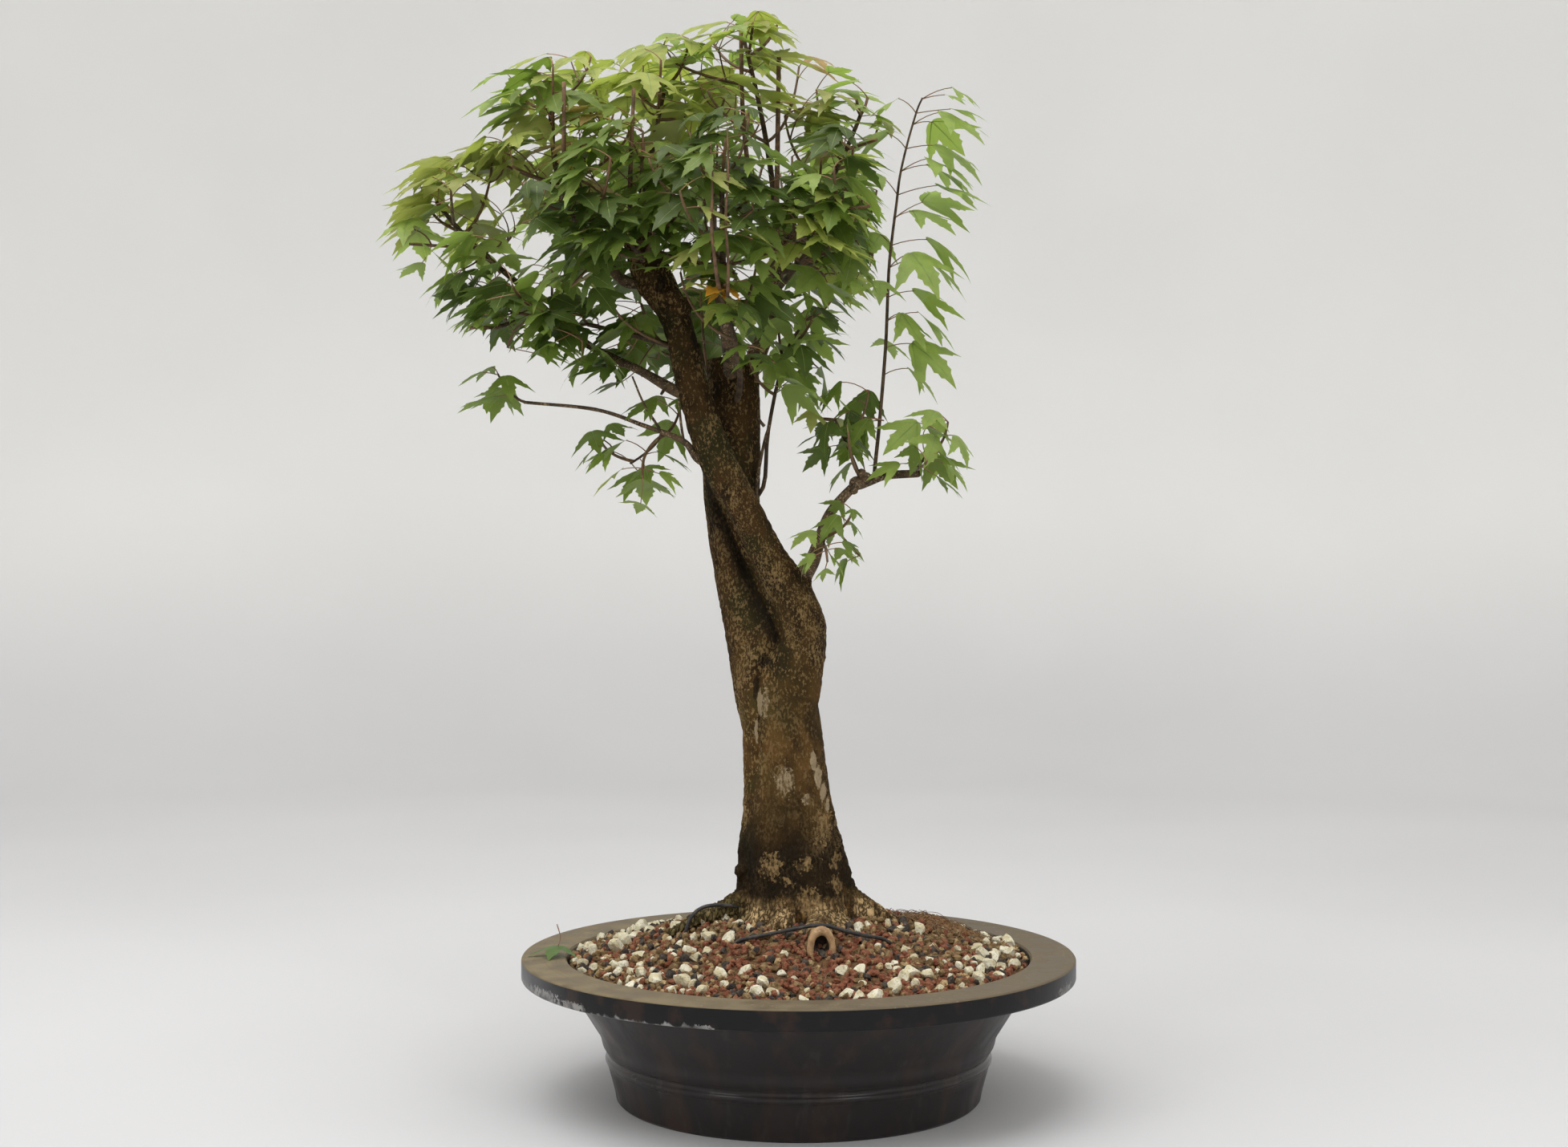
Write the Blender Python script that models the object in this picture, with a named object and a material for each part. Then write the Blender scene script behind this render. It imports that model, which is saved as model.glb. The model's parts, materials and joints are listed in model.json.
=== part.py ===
"""A trained trident maple in its round pot: a flared trunk, two crossing stems, boughs and leafy masses.

Everything is in metres, +Z up. The origin is the middle of the pot's flat underside, and the tree's
front faces -Y. Each mass of foliage keeps to its own egg-shaped space. It grows from one stem by a
seeded rule: shoots that branch off the stem, and opposite pairs of three-lobed leaves along them.
"""

import math
import random
from dataclasses import dataclass

import bmesh
import bpy
from mathutils import Matrix, Vector
from mathutils.bvhtree import BVHTree

# Clearance that touching pieces keep
GAP = 0.0003

# Pot: a turned tray with a broad flat lip
POT_SIDES = 32
POT_HEIGHT = 0.124
LIP_RADIUS = 0.240
LIP_WIDTH = 0.039
LIP_DEPTH = 0.018
LIP_EDGE = 0.0015
FOOT_RADIUS = 0.1585
NECK_RADIUS = 0.200
FLOOR_THICKNESS = 0.010
WALL_THICKNESS = 0.008
DRAIN_RADIUS = 0.012
DRAIN_RING = 0.085
DRAIN_COUNT = 4
DRILL_SIDES = 12
DRILL_OVERRUN = 0.010

# (radius, height) of the pot's outside from foot to neck, with the ridge low on it
POT_BODY = (
    (FOOT_RADIUS, 0.0), (0.1655, 0.0300), (0.1675, 0.0360), (0.1660, 0.0410),
    (0.1700, 0.0480), (0.1725, 0.0570), (0.1785, 0.0670), (0.1960, 0.0950),
    (NECK_RADIUS, POT_HEIGHT - LIP_DEPTH),
)

# (radius, height) of the pot's inside from below the lip to its floor
POT_INSIDE = (
    (NECK_RADIUS - WALL_THICKNESS, POT_HEIGHT - LIP_DEPTH),
    (0.1710, 0.0685), (0.1595, 0.0380),
    (FOOT_RADIUS - WALL_THICKNESS, FLOOR_THICKNESS),
)

# Soil: mounded to a level seat for the trunk
SOIL_SIDE_GAP = 0.0004
SOIL_EDGE_HEIGHT = 0.1205
SOIL_TOP = 0.155
SOIL_MOUND = ((0, SOIL_TOP), (0.076, SOIL_TOP), (0.100, 0.145), (0.150, 0.132))

# Trunk: (height, middle x, half width, half depth, root ridge share) at each level
TRUNK_SIDES = 20
ROOT_RIDGES = 6
TRUNK_FOOT = SOIL_TOP + GAP
TRUNK_LEVELS = (
    (TRUNK_FOOT, 0.0005, 0.0625, 0.0600, 0.150),
    (0.1630, -0.0002, 0.0555, 0.0540, 0.110),
    (0.1720, -0.0010, 0.0512, 0.0495, 0.070),
    (0.1850, -0.0025, 0.0488, 0.0465, 0.045),
    (0.2020, -0.0045, 0.0468, 0.0445, 0.030),
    (0.2200, -0.0067, 0.0446, 0.0420, 0.025),
    (0.2550, -0.0091, 0.0382, 0.0370, 0.020),
    (0.2900, -0.0119, 0.0360, 0.0340, 0.015),
    (0.3250, -0.0154, 0.0342, 0.0320, 0.010),
    (0.3600, -0.0200, 0.0345, 0.0280, 0.010),
    (0.3950, -0.0200, 0.0290, 0.0210, 0.010),
    (0.4150, -0.0210, 0.0150, 0.0120, 0.010),
)

# Stops of a limb are (x, y, z, radius). The two stems part at the trunk's fork, at FORK_STOP.
STEM_STEPS = 2
BOUGH_STEPS = 1
STEM_SIDES = 10
BOUGH_SIDES = 7
LIMB_BUMPS = 0.03
FORK_STOP = 4
FRONT_STEM = (
    (-0.0100, -0.004, 0.3050, 0.0180),
    (-0.0060, -0.010, 0.3450, 0.0240),
    (-0.0010, -0.013, 0.3800, 0.0235),
    (0.0030, -0.014, 0.4108, 0.0210),
    (-0.0095, -0.014, 0.4409, 0.0190),
    (-0.0216, -0.018, 0.4612, 0.0165),
    (-0.0340, -0.022, 0.4826, 0.0158),
    (-0.0713, -0.026, 0.5568, 0.0156),
    (-0.0897, -0.025, 0.6114, 0.0143),
    (-0.1047, -0.022, 0.6698, 0.0130),
    (-0.1260, -0.020, 0.7097, 0.0172),
    (-0.1390, -0.018, 0.7447, 0.0130),
)
REAR_STEM = (
    (-0.0220, 0.004, 0.2900, 0.0200),
    (-0.0270, 0.009, 0.3350, 0.0255),
    (-0.0320, 0.012, 0.3700, 0.0268),
    (-0.0385, 0.014, 0.4050, 0.0265),
    (-0.0466, 0.015, 0.4367, 0.0250),
    (-0.0578, 0.018, 0.5067, 0.0245),
    (-0.0592, 0.020, 0.5487, 0.0250),
    (-0.0570, 0.021, 0.6047, 0.0228),
    (-0.0585, 0.022, 0.6432, 0.0222),
)
STUMP_HOLLOW_RADIUS = 0.0135
STUMP_HOLLOW_DEPTH = 0.020


@dataclass(frozen=True)
class Bough:
    """A tapering bough: what carries it, and its stops, the first of them inside its carriers."""

    name: str
    carriers: tuple
    stops: tuple


BOUGHS = (
    Bough("leader", ("rear_stem",), (
        (-0.0540, 0.022, 0.6200, 0.0085), (-0.0389, 0.022, 0.6420, 0.0085),
        (-0.0263, 0.021, 0.6750, 0.0078), (-0.0207, 0.020, 0.7130, 0.0068),
        (-0.0190, 0.020, 0.7450, 0.0060),
    )),
    Bough("right_branch", ("front_stem", "trunk"), (
        (-0.0040, -0.014, 0.4400, 0.0075), (0.0040, -0.014, 0.4520, 0.0072),
        (0.0120, -0.014, 0.4654, 0.0060), (0.0188, -0.013, 0.4852, 0.0052),
        (0.0265, -0.011, 0.5050, 0.0045), (0.0371, -0.008, 0.5186, 0.0043),
        (0.0477, -0.005, 0.5292, 0.0044), (0.0545, -0.004, 0.5331, 0.0056),
        (0.0674, -0.002, 0.5368, 0.0040), (0.0766, 0.000, 0.5399, 0.0030),
        (0.1023, 0.002, 0.5414, 0.0026),
    )),
    Bough("left_bough", ("front_stem",), (
        (-0.1290, -0.020, 0.7060, 0.0050), (-0.1520, -0.019, 0.7080, 0.0046),
        (-0.1830, -0.015, 0.7460, 0.0041), (-0.2050, -0.012, 0.7800, 0.0037),
    )),
    Bough("left_low_bough", ("front_stem",), (
        (-0.0930, -0.025, 0.6080, 0.0048), (-0.1074, -0.023, 0.6124, 0.0045),
        (-0.1382, -0.010, 0.6306, 0.0038), (-0.1796, 0.006, 0.6516, 0.0033),
        (-0.2111, 0.012, 0.6761, 0.0030), (-0.2391, 0.012, 0.7027, 0.0027),
        (-0.2741, 0.008, 0.7320, 0.0024),
    )),
    Bough("left_thin_branch", ("front_stem",), (
        (-0.0740, -0.026, 0.5480, 0.0036), (-0.0870, -0.027, 0.5530, 0.0034),
        (-0.0998, -0.026, 0.5683, 0.0028), (-0.1348, -0.020, 0.5823, 0.0019),
        (-0.1760, -0.012, 0.5963, 0.0016), (-0.2390, -0.004, 0.6033, 0.0014),
    )),
    Bough("front_bough", ("rear_stem",), (
        (-0.0585, 0.010, 0.6220, 0.0058), (-0.0600, -0.010, 0.6400, 0.0056),
        (-0.0620, -0.050, 0.6700, 0.0048), (-0.0630, -0.090, 0.7000, 0.0040),
    )),
    Bough("back_bough", ("rear_stem",), (
        (-0.0585, 0.030, 0.6180, 0.0062), (-0.0600, 0.052, 0.6400, 0.0058),
        (-0.0700, 0.084, 0.7000, 0.0050), (-0.0780, 0.110, 0.7600, 0.0042),
    )),
    Bough("back_left_bough", ("front_stem",), (
        (-0.1330, -0.010, 0.7200, 0.0054), (-0.1420, 0.010, 0.7330, 0.0050),
        (-0.1600, 0.045, 0.7600, 0.0044), (-0.1750, 0.080, 0.7800, 0.0038),
    )),
)

# The stub of a sawn root that looks out of the soil in front
CUT_ROOT = (
    (0.0160, -0.0450, 0.1535, 0.0112), (0.0165, -0.0650, 0.1520, 0.0115),
    (0.0175, -0.0880, 0.1502, 0.0110), (0.0181, -0.1080, 0.1486, 0.0106),
)
CUT_ROOT_HOLLOW = 0.0052
CUT_ROOT_HOLLOW_DEPTH = 0.009

# Leaf: three forward lobes, drawn out of a face of its twig by a stalk
STALK = 0.015
BLADE = 0.046
BASE_SPREAD = 0.09
LOBE_REACH = 0.62
LOBE_SPREAD = 0.58
NOTCH_REACH = 0.50
NOTCH_SPREAD = 0.20
CREST_REACH = 0.33
CREST_HEIGHT = 0.0013
TIP_DROOP = 0.15
LOBE_DROOP = 0.12
LEAF_SIZES = (1.15, 1.02, 0.90, 0.78)
LEAF_TURNS = (0.0, 0.55, -0.55, 1.0, -1.0)
LEAF_DROOPS = (0.25, 0.6, 0.0)
LEAF_JITTER = 0.3
LEAST_RISE = 0.35
LEAST_ACROSS = 0.15
LEAF_OUTWARD = 0.5
LEAF_MIDDLE_SHARE = 0.6
STALK_TEST_SHARE = 0.05
LEAF_RIVAL_RANGE = 0.16

# Shoots: three-sided twigs with a band at each node, whose faces the leaf pairs are drawn out of
TWIG_SIDES = 3
BAND = 0.0018
STEM_RADIUS = 0.0030
STEM_TIP_RADIUS = 0.0018
SHOOT_RADIUS = 0.0016
SHOOT_TIP_RADIUS = 0.0012
STEM_STRETCHES = 4
STEM_BEND = 0.4
STEM_PAST_MIDDLE = 0.35
SHOOT_STRETCHES = 2
SHOOT_BEND = 0.45
SHOOT_TESTS = 6
SHOOT_REACH = 0.68
LEAVES_PER_SHOOT = 4.0
PAIR_SPACING = 0.021
BARE_SHARE = 0.30
FORWARD_BONUS = 1.6
FORWARD_LEAN = 0.6
SPACE_MARGIN = 0.03
LIMB_CLEARANCE = 0.0015
SHOOT_CLEARANCE = 0.003
SEED = 7


@dataclass(frozen=True)
class Mass:
    """A mass of foliage: its egg-shaped space, its most leaves, and where its stem starts.

    The stem starts at the anchor, inside the carrier, sets out along out, and runs through path where
    there is one, or else curves to just past the middle of the space.
    """

    name: str
    centre: tuple
    radii: tuple
    leaves: int
    carrier: str
    anchor: tuple
    out: tuple
    path: tuple = ()
    stalk: float = STALK
    leaf_size: float = 1.0
    tint: str = "leaf_green"


MASSES = (
    Mass("crown_top_foliage", (-0.0430, -0.01, 0.8900), (0.090, 0.095, 0.074), 35,
         "leader", (-0.0192, 0.020, 0.7420), (0, 0, 1), tint="leaf_yellow"),
    Mass("top_centre_foliage", (-0.1200, -0.01, 0.8520), (0.074, 0.090, 0.078), 30,
         "front_stem", (-0.1385, -0.0182, 0.7420), (0.1, 0.1, 1), tint="leaf_yellow"),
    Mass("top_left_foliage", (-0.2120, -0.01, 0.8350), (0.095, 0.090, 0.080), 34,
         "left_bough", (-0.2038, -0.0122, 0.7780), (-0.3, 0.0, 1), tint="leaf_olive"),
    Mass("top_right_foliage", (0.0420, -0.01, 0.8330), (0.062, 0.080, 0.068), 26,
         "leader", (-0.0190, 0.020, 0.7400), (1, -0.2, 0.8)),
    Mass("left_tip_foliage", (-0.2980, 0.0, 0.7590), (0.077, 0.085, 0.074), 27,
         "left_low_bough", (-0.2720, 0.0082, 0.7305), (-1, 0, 0.8), tint="leaf_olive"),
    Mass("left_low_foliage", (-0.2450, -0.02, 0.6680), (0.085, 0.080, 0.058), 26,
         "left_low_bough", (-0.2111, 0.012, 0.6761), (-0.4, -1, 0.2)),
    Mass("front_left_foliage", (-0.1560, -0.10, 0.7466), (0.085, 0.070, 0.085), 30,
         "front_stem", (-0.1300, -0.020, 0.7180), (-0.2, -1, 0.3)),
    Mass("front_centre_foliage", (-0.0630, -0.12, 0.7540), (0.075, 0.070, 0.085), 30,
         "front_bough", (-0.0630, -0.0880, 0.6990), (0, -1, 0.8), tint="leaf_deep"),
    Mass("front_right_foliage", (0.0230, -0.08, 0.7450), (0.072, 0.070, 0.085), 26,
         "leader", (-0.0225, 0.020, 0.7000), (0.4, -1, 0.3)),
    Mass("mid_right_foliage", (0.0480, 0.04, 0.7400), (0.062, 0.060, 0.080), 20,
         "leader", (-0.0200, 0.020, 0.7180), (1, 0.1, 0.4)),
    Mass("back_left_foliage", (-0.1823, 0.11, 0.7800), (0.090, 0.080, 0.085), 26,
         "back_left_bough", (-0.1742, 0.0780, 0.7790), (-0.3, 1, 0.3)),
    Mass("back_centre_foliage", (-0.0786, 0.13, 0.8150), (0.080, 0.080, 0.090), 26,
         "back_bough", (-0.0775, 0.1085, 0.7570), (0, 0.4, 1)),
    Mass("back_right_foliage", (0.0191, 0.12, 0.7736), (0.075, 0.075, 0.090), 24,
         "leader", (-0.0195, 0.020, 0.7300), (0.3, 1, 0.5)),
    Mass("right_low_foliage", (0.0101, 0.0, 0.6480), (0.060, 0.075, 0.068), 18,
         "rear_stem", (-0.0500, 0.018, 0.5150), (1, 0, 0.6),
         path=((-0.0310, 0.016, 0.5300), (-0.0265, 0.012, 0.5790), (-0.0130, 0.005, 0.6410),
               (0.0050, 0.0, 0.6750))),
    Mass("left_under_foliage", (-0.1640, -0.01, 0.6650), (0.058, 0.075, 0.060), 18,
         "front_stem", (-0.0985, -0.023, 0.6460), (-1, -0.2, 0.35), tint="leaf_deep"),
    Mass("front_low_foliage", (-0.0638, -0.09, 0.6720), (0.072, 0.060, 0.060), 16,
         "rear_stem", (-0.0560, 0.010, 0.6000), (0.3, -1, 0.5), tint="leaf_deep"),
    Mass("back_low_foliage", (-0.0928, 0.12, 0.6743), (0.080, 0.070, 0.060), 16,
         "rear_stem", (-0.0570, 0.026, 0.6000), (-0.4, 1, 0.3), tint="leaf_deep"),
    Mass("right_shoot_foliage", (0.1082, 0.0, 0.7450), (0.073, 0.060, 0.140), 27,
         "right_branch", (0.0660, -0.002, 0.5368), (0.1, 0, 1), stalk=0.026,
         path=((0.0670, -0.001, 0.5500), (0.0704, 0, 0.5823), (0.0743, 0, 0.6280), (0.0766, 0, 0.6621),
               (0.0788, 0, 0.7174), (0.0816, 0, 0.7461), (0.0858, 0, 0.7790), (0.0885, 0, 0.8007),
               (0.0946, 0, 0.8276), (0.1032, 0, 0.8575), (0.1082, 0, 0.8692))),
    Mass("shoot_foot_left_foliage", (0.0380, -0.005, 0.5730), (0.046, 0.050, 0.052), 10,
         "right_branch", (0.0545, -0.0040, 0.5331), (-0.3, -0.6, 1), leaf_size=0.8),
    Mass("shoot_foot_right_foliage", (0.1040, -0.010, 0.5480), (0.052, 0.052, 0.050), 10,
         "right_branch", (0.0990, 0.0018, 0.5412), (0.2, -1, 0.1), leaf_size=0.8),
    Mass("fork_sprout", (0.0207, -0.035, 0.4800), (0.045, 0.040, 0.040), 6,
         "right_branch", (0.0188, -0.0130, 0.4852), (0.2, -1, 0.0), leaf_size=0.6),
    Mass("left_spray", (-0.2700, 0.0, 0.6040), (0.052, 0.048, 0.045), 5,
         "left_thin_branch", (-0.2375, -0.0042, 0.6032), (-1, 0, 0.1), stalk=0.008, leaf_size=0.8),
    Mass("left_hanging_foliage", (-0.1369, 0.0, 0.5600), (0.060, 0.055, 0.060), 6,
         "left_thin_branch", (-0.1180, -0.0232, 0.5760), (-0.2, 0.9, -0.6), leaf_size=0.9),
)

TINTS = {
    "leaf_green": (0.075, 0.190, 0.032),
    "leaf_deep": (0.030, 0.100, 0.026),
    "leaf_yellow": (0.190, 0.290, 0.040),
    "leaf_olive": (0.170, 0.220, 0.045),
}


def clear_scene():
    """Removes every object of the scene."""
    for thing in list(bpy.data.objects):
        bpy.data.objects.remove(thing)


def material(name, colour, roughness, metallic=0.0):
    """A plain Principled material."""
    made = bpy.data.materials.new(name)
    made.use_nodes = True
    made.diffuse_color = (*colour, 1)
    shader = made.node_tree.nodes["Principled BSDF"]
    shader.inputs["Base Color"].default_value = (*colour, 1)
    shader.inputs["Roughness"].default_value = roughness
    shader.inputs["Metallic"].default_value = metallic
    return made


def add_object(name, bm, finish, sharp_degrees=40):
    """Puts the mesh in the scene with its faces outwards, shaded smooth up to the given angle."""
    bmesh.ops.recalc_face_normals(bm, faces=bm.faces)
    mesh = bpy.data.meshes.new(name)
    bm.to_mesh(mesh)
    bm.free()
    mesh.materials.append(finish)
    mesh.shade_smooth()
    mesh.set_sharp_from_angle(angle=math.radians(sharp_degrees))
    made = bpy.data.objects.new(name, mesh)
    bpy.context.scene.collection.objects.link(made)
    return made


def combine(target, operation, operands):
    """Joins the operands to the target or cuts them from it, and removes them."""
    group = bpy.data.collections.new("operands")
    bpy.context.scene.collection.children.link(group)
    for operand in operands:
        bpy.context.scene.collection.objects.unlink(operand)
        group.objects.link(operand)
    step = target.modifiers.new(operation.title(), "BOOLEAN")
    step.operation = operation
    step.operand_type = "COLLECTION"
    step.collection = group
    bpy.context.view_layer.objects.active = target
    bpy.ops.object.modifier_apply(modifier=step.name)
    for operand in operands:
        bpy.data.objects.remove(operand)
    bpy.data.collections.remove(group)


def keep_main_body(target):
    """Drops loose scraps and fills sealed hollows, by keeping only the largest island of faces."""
    bm = bmesh.new()
    bm.from_mesh(target.data)
    waiting = set(bm.verts)
    islands = []
    while waiting:
        edge_of_island = [waiting.pop()]
        island = set(edge_of_island)
        while edge_of_island:
            vert = edge_of_island.pop()
            for edge in vert.link_edges:
                other = edge.other_vert(vert)
                if other in waiting:
                    waiting.remove(other)
                    island.add(other)
                    edge_of_island.append(other)
        islands.append(island)
    islands.sort(key=len)
    for island in islands[:-1]:
        bmesh.ops.delete(bm, geom=list(island), context="VERTS")
    bm.to_mesh(target.data)
    bm.free()


def turned(profile):
    """A closed solid turned round the upright axis from (radius, height) points, axis to axis."""
    bm = bmesh.new()
    verts = [bm.verts.new((radius, 0, height)) for radius, height in profile]
    edges = [bm.edges.new(pair) for pair in zip(verts, verts[1:])]
    bmesh.ops.spin(
        bm, geom=verts + edges, axis=(0, 0, 1), angle=math.tau, steps=POT_SIDES, use_merge=True
    )
    bmesh.ops.remove_doubles(bm, verts=bm.verts, dist=1e-6)
    return bm


def skin(rings):
    """A closed solid over a row of rings with the same number of points, with a flat cap at each end."""
    bm = bmesh.new()
    rows = [[bm.verts.new(point) for point in ring] for ring in rings]
    for low, high in zip(rows, rows[1:]):
        for here in range(len(low)):
            after = (here + 1) % len(low)
            bm.faces.new((low[here], low[after], high[after], high[here]))
    bm.faces.new(rows[0])
    bm.faces.new(rows[-1])
    bmesh.ops.recalc_face_normals(bm, faces=bm.faces)
    return bm


def smooth_line(stops, steps):
    """Places along the smooth curve through the stops, as 4D vectors of x, y, z and radius."""
    rows = [Vector(stop) for stop in stops]
    rows = [2 * rows[0] - rows[1], *rows, 2 * rows[-1] - rows[-2]]
    line = []
    for before, start, end, after in zip(rows, rows[1:], rows[2:], rows[3:]):
        for step in range(steps):
            t = step / steps
            line.append(0.5 * (
                2 * start + (end - before) * t
                + (2 * before - 5 * start + 4 * end - after) * t ** 2
                + (3 * start - before - 3 * end + after) * t ** 3
            ))
    line.append(rows[-2])
    return line


def tangents_of(line):
    """The direction of a line at each of its places."""
    places = [row.xyz for row in line]
    ahead = places[1:] + places[-1:]
    behind = places[:1] + places[:-1]
    return [(front - back).normalized() for front, back in zip(ahead, behind)]


def rings_along(line, sides, extra=0.0, bumps=0.0):
    """Rings square to the line, carried along it without twist, and let out all round by extra."""
    tangents = tangents_of(line)
    side = tangents[0].orthogonal()
    rings = []
    for count, (row, tangent) in enumerate(zip(line, tangents)):
        side = (side - tangent * side.dot(tangent)).normalized()
        up = tangent.cross(side)
        middle = row.xyz
        if count == 0:
            middle = middle - tangent * extra
        if count == len(line) - 1:
            middle = middle + tangent * extra
        ring = []
        for corner in range(sides):
            angle = math.tau * corner / sides
            radius = row.w * (1 + bumps * math.sin(3 * angle + 2.3 * count)) + extra
            ring.append(middle + (side * math.cos(angle) + up * math.sin(angle)) * radius)
        rings.append(ring)
    return rings


def trunk_rings(extra=0.0):
    """Level rings of the trunk, with the root ridges fading out upwards."""
    rings = []
    for height, middle, half_width, half_depth, ridges in TRUNK_LEVELS:
        ring = []
        for corner in range(TRUNK_SIDES):
            angle = math.tau * corner / TRUNK_SIDES
            swell = 1 + ridges * math.cos(ROOT_RIDGES * angle)
            ring.append(Vector((
                middle + (half_width * swell + extra) * math.cos(angle),
                (half_depth * swell + extra) * math.sin(angle),
                height,
            )))
        rings.append(ring)
    return rings


def upright_drill(radius, bottom, top, x, y):
    """A cutter for a round hole, as a bmesh cylinder that stands up."""
    bm = bmesh.new()
    bmesh.ops.create_cone(
        bm, cap_ends=True, segments=DRILL_SIDES, radius1=radius, radius2=radius, depth=top - bottom,
        matrix=Matrix.Translation((x, y, (top + bottom) / 2)),
    )
    return bm


def build_pot(finish):
    """The tray, from its flat underside out and up to the lip, and down its inner wall."""
    lip = (
        (LIP_RADIUS, POT_HEIGHT - LIP_DEPTH), (LIP_RADIUS, POT_HEIGHT - LIP_EDGE),
        (LIP_RADIUS - LIP_EDGE, POT_HEIGHT), (LIP_RADIUS - LIP_WIDTH, POT_HEIGHT),
    )
    profile = [(0, 0), *POT_BODY, *lip, *POT_INSIDE, (0, FLOOR_THICKNESS)]
    pot = add_object("pot", turned(profile), finish)
    drains = []
    for count in range(DRAIN_COUNT):
        angle = math.tau * (count + 0.5) / DRAIN_COUNT
        x, y = DRAIN_RING * math.cos(angle), DRAIN_RING * math.sin(angle)
        drill = upright_drill(DRAIN_RADIUS, -DRILL_OVERRUN, FLOOR_THICKNESS + DRILL_OVERRUN, x, y)
        drains.append(add_object("drain", drill, finish))
    combine(pot, "DIFFERENCE", drains)
    return pot


def build_soil(finish):
    """The soil that fills the pot, with a groove that the sawn root lies in."""
    inner = LIP_RADIUS - LIP_WIDTH
    lip_share = (SOIL_EDGE_HEIGHT - POT_HEIGHT + LIP_DEPTH) / LIP_DEPTH
    neck = NECK_RADIUS - WALL_THICKNESS
    edge = neck + (inner - neck) * lip_share
    top = (*SOIL_MOUND, (edge - SOIL_SIDE_GAP, SOIL_EDGE_HEIGHT))
    wall = [(radius - SOIL_SIDE_GAP, height) for radius, height in POT_INSIDE]
    wall[-1] = (wall[-1][0], FLOOR_THICKNESS + GAP)
    soil = add_object("soil", turned([*top, *wall, (0, FLOOR_THICKNESS + GAP)]), finish)
    line = smooth_line(CUT_ROOT, BOUGH_STEPS)
    groove = skin(rings_along(line, BOUGH_SIDES, extra=GAP))
    combine(soil, "DIFFERENCE", [add_object("groove", groove, finish)])
    return soil


def stem_lines():
    """The smooth lines of the two stems, each cut in two at the fork: (trunk's part, stem's own part)."""
    lines = {}
    for name, stops in (("front_stem", FRONT_STEM), ("rear_stem", REAR_STEM)):
        line = smooth_line(stops, STEM_STEPS)
        cut = FORK_STOP * STEM_STEPS
        lines[name] = (line[: cut + 1], line[cut:])
    return lines


def stem_rings(name, extra=0.0):
    """The rings of a stem's two parts, cut at the fork with the clearance between them."""
    low, high = stem_lines()[name]
    rings = rings_along(low + high[1:], STEM_SIDES, extra, LIMB_BUMPS)
    tangent = tangents_of(low + high[1:])[len(low) - 1]
    start = [point + tangent * (GAP - extra) for point in rings[len(low) - 1]]
    return rings[: len(low)], [start, *rings[len(low):]]


def build_trunk(finish):
    """The trunk from its flat foot to the fork: the flared butt joined with the feet of both stems."""
    trunk = add_object("trunk", skin(trunk_rings()), finish)
    arms = []
    for name in ("front_stem", "rear_stem"):
        arms.append(add_object("arm", skin(stem_rings(name)[0]), finish))
    combine(trunk, "UNION", arms)
    keep_main_body(trunk)
    return trunk


def build_stem(name, finish):
    """One of the two stems, from the fork up."""
    return add_object(name, skin(stem_rings(name)[1]), finish)


def hollow_stump(stem, finish):
    """Hollows the sawn head of the rear stem."""
    line = stem_lines()["rear_stem"][1]
    x, y, top = line[-1].xyz
    drill = upright_drill(STUMP_HOLLOW_RADIUS, top - STUMP_HOLLOW_DEPTH, top + DRILL_OVERRUN, x, y)
    combine(stem, "DIFFERENCE", [add_object("hollow", drill, finish)])


def trimmers_of(carrier, finish):
    """The carrier's own shape, let out by the clearance, to trim what grows from it."""
    if carrier == "trunk":
        shapes = [trunk_rings(GAP)]
        shapes += [stem_rings(name, GAP)[0] for name in ("front_stem", "rear_stem")]
    elif carrier in ("front_stem", "rear_stem"):
        shapes = [stem_rings(carrier, GAP)[1]]
    else:
        bough = next(each for each in BOUGHS if each.name == carrier)
        line = smooth_line(bough.stops, BOUGH_STEPS)
        shapes = [rings_along(line, BOUGH_SIDES, GAP, LIMB_BUMPS)]
    return [add_object("trimmer", skin(rings), finish) for rings in shapes]


def build_bough(bough, finish):
    """A bough, trimmed to stand just clear of its carriers."""
    line = smooth_line(bough.stops, BOUGH_STEPS)
    made = add_object(bough.name, skin(rings_along(line, BOUGH_SIDES, bumps=LIMB_BUMPS)), finish)
    trimmers = [each for carrier in bough.carriers for each in trimmers_of(carrier, finish)]
    combine(made, "DIFFERENCE", trimmers)
    keep_main_body(made)
    return made


def build_cut_root(finish):
    """The sawn root's stub, hollow at its cut face."""
    line = smooth_line(CUT_ROOT, BOUGH_STEPS)
    stub = add_object("cut_root", skin(rings_along(line, BOUGH_SIDES)), finish)
    face = line[-1].xyz
    way = tangents_of(line)[-1]
    inside = Vector((*(face - way * CUT_ROOT_HOLLOW_DEPTH), CUT_ROOT_HOLLOW))
    outside = Vector((*(face + way * DRILL_OVERRUN), CUT_ROOT_HOLLOW))
    hollow = add_object("hollow", skin(rings_along([inside, outside], BOUGH_SIDES)), finish)
    combine(stub, "DIFFERENCE", [hollow, *trimmers_of("trunk", finish)])
    keep_main_body(stub)
    return stub


def depth_in(mass, point):
    """How far out in the mass's space a point lies: 0 at its middle, 1 at its surface."""
    return math.sqrt(sum(
        ((here - middle) / radius) ** 2
        for here, middle, radius in zip(point, mass.centre, mass.radii)
    ))


def neighbours_of(mass):
    """The masses whose spaces reach into this one's."""
    return [
        other for other in MASSES
        if other is not mass and all(
            abs(a - b) < ra + rb
            for a, b, ra, rb in zip(mass.centre, other.centre, mass.radii, other.radii)
        )
    ]


def in_space(mass, neighbours, point):
    """Whether the point lies in the mass's own space, short of every neighbour's."""
    depth = depth_in(mass, point)
    return depth <= 1 and all(
        depth + SPACE_MARGIN <= depth_in(other, point) for other in neighbours
    )


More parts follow.
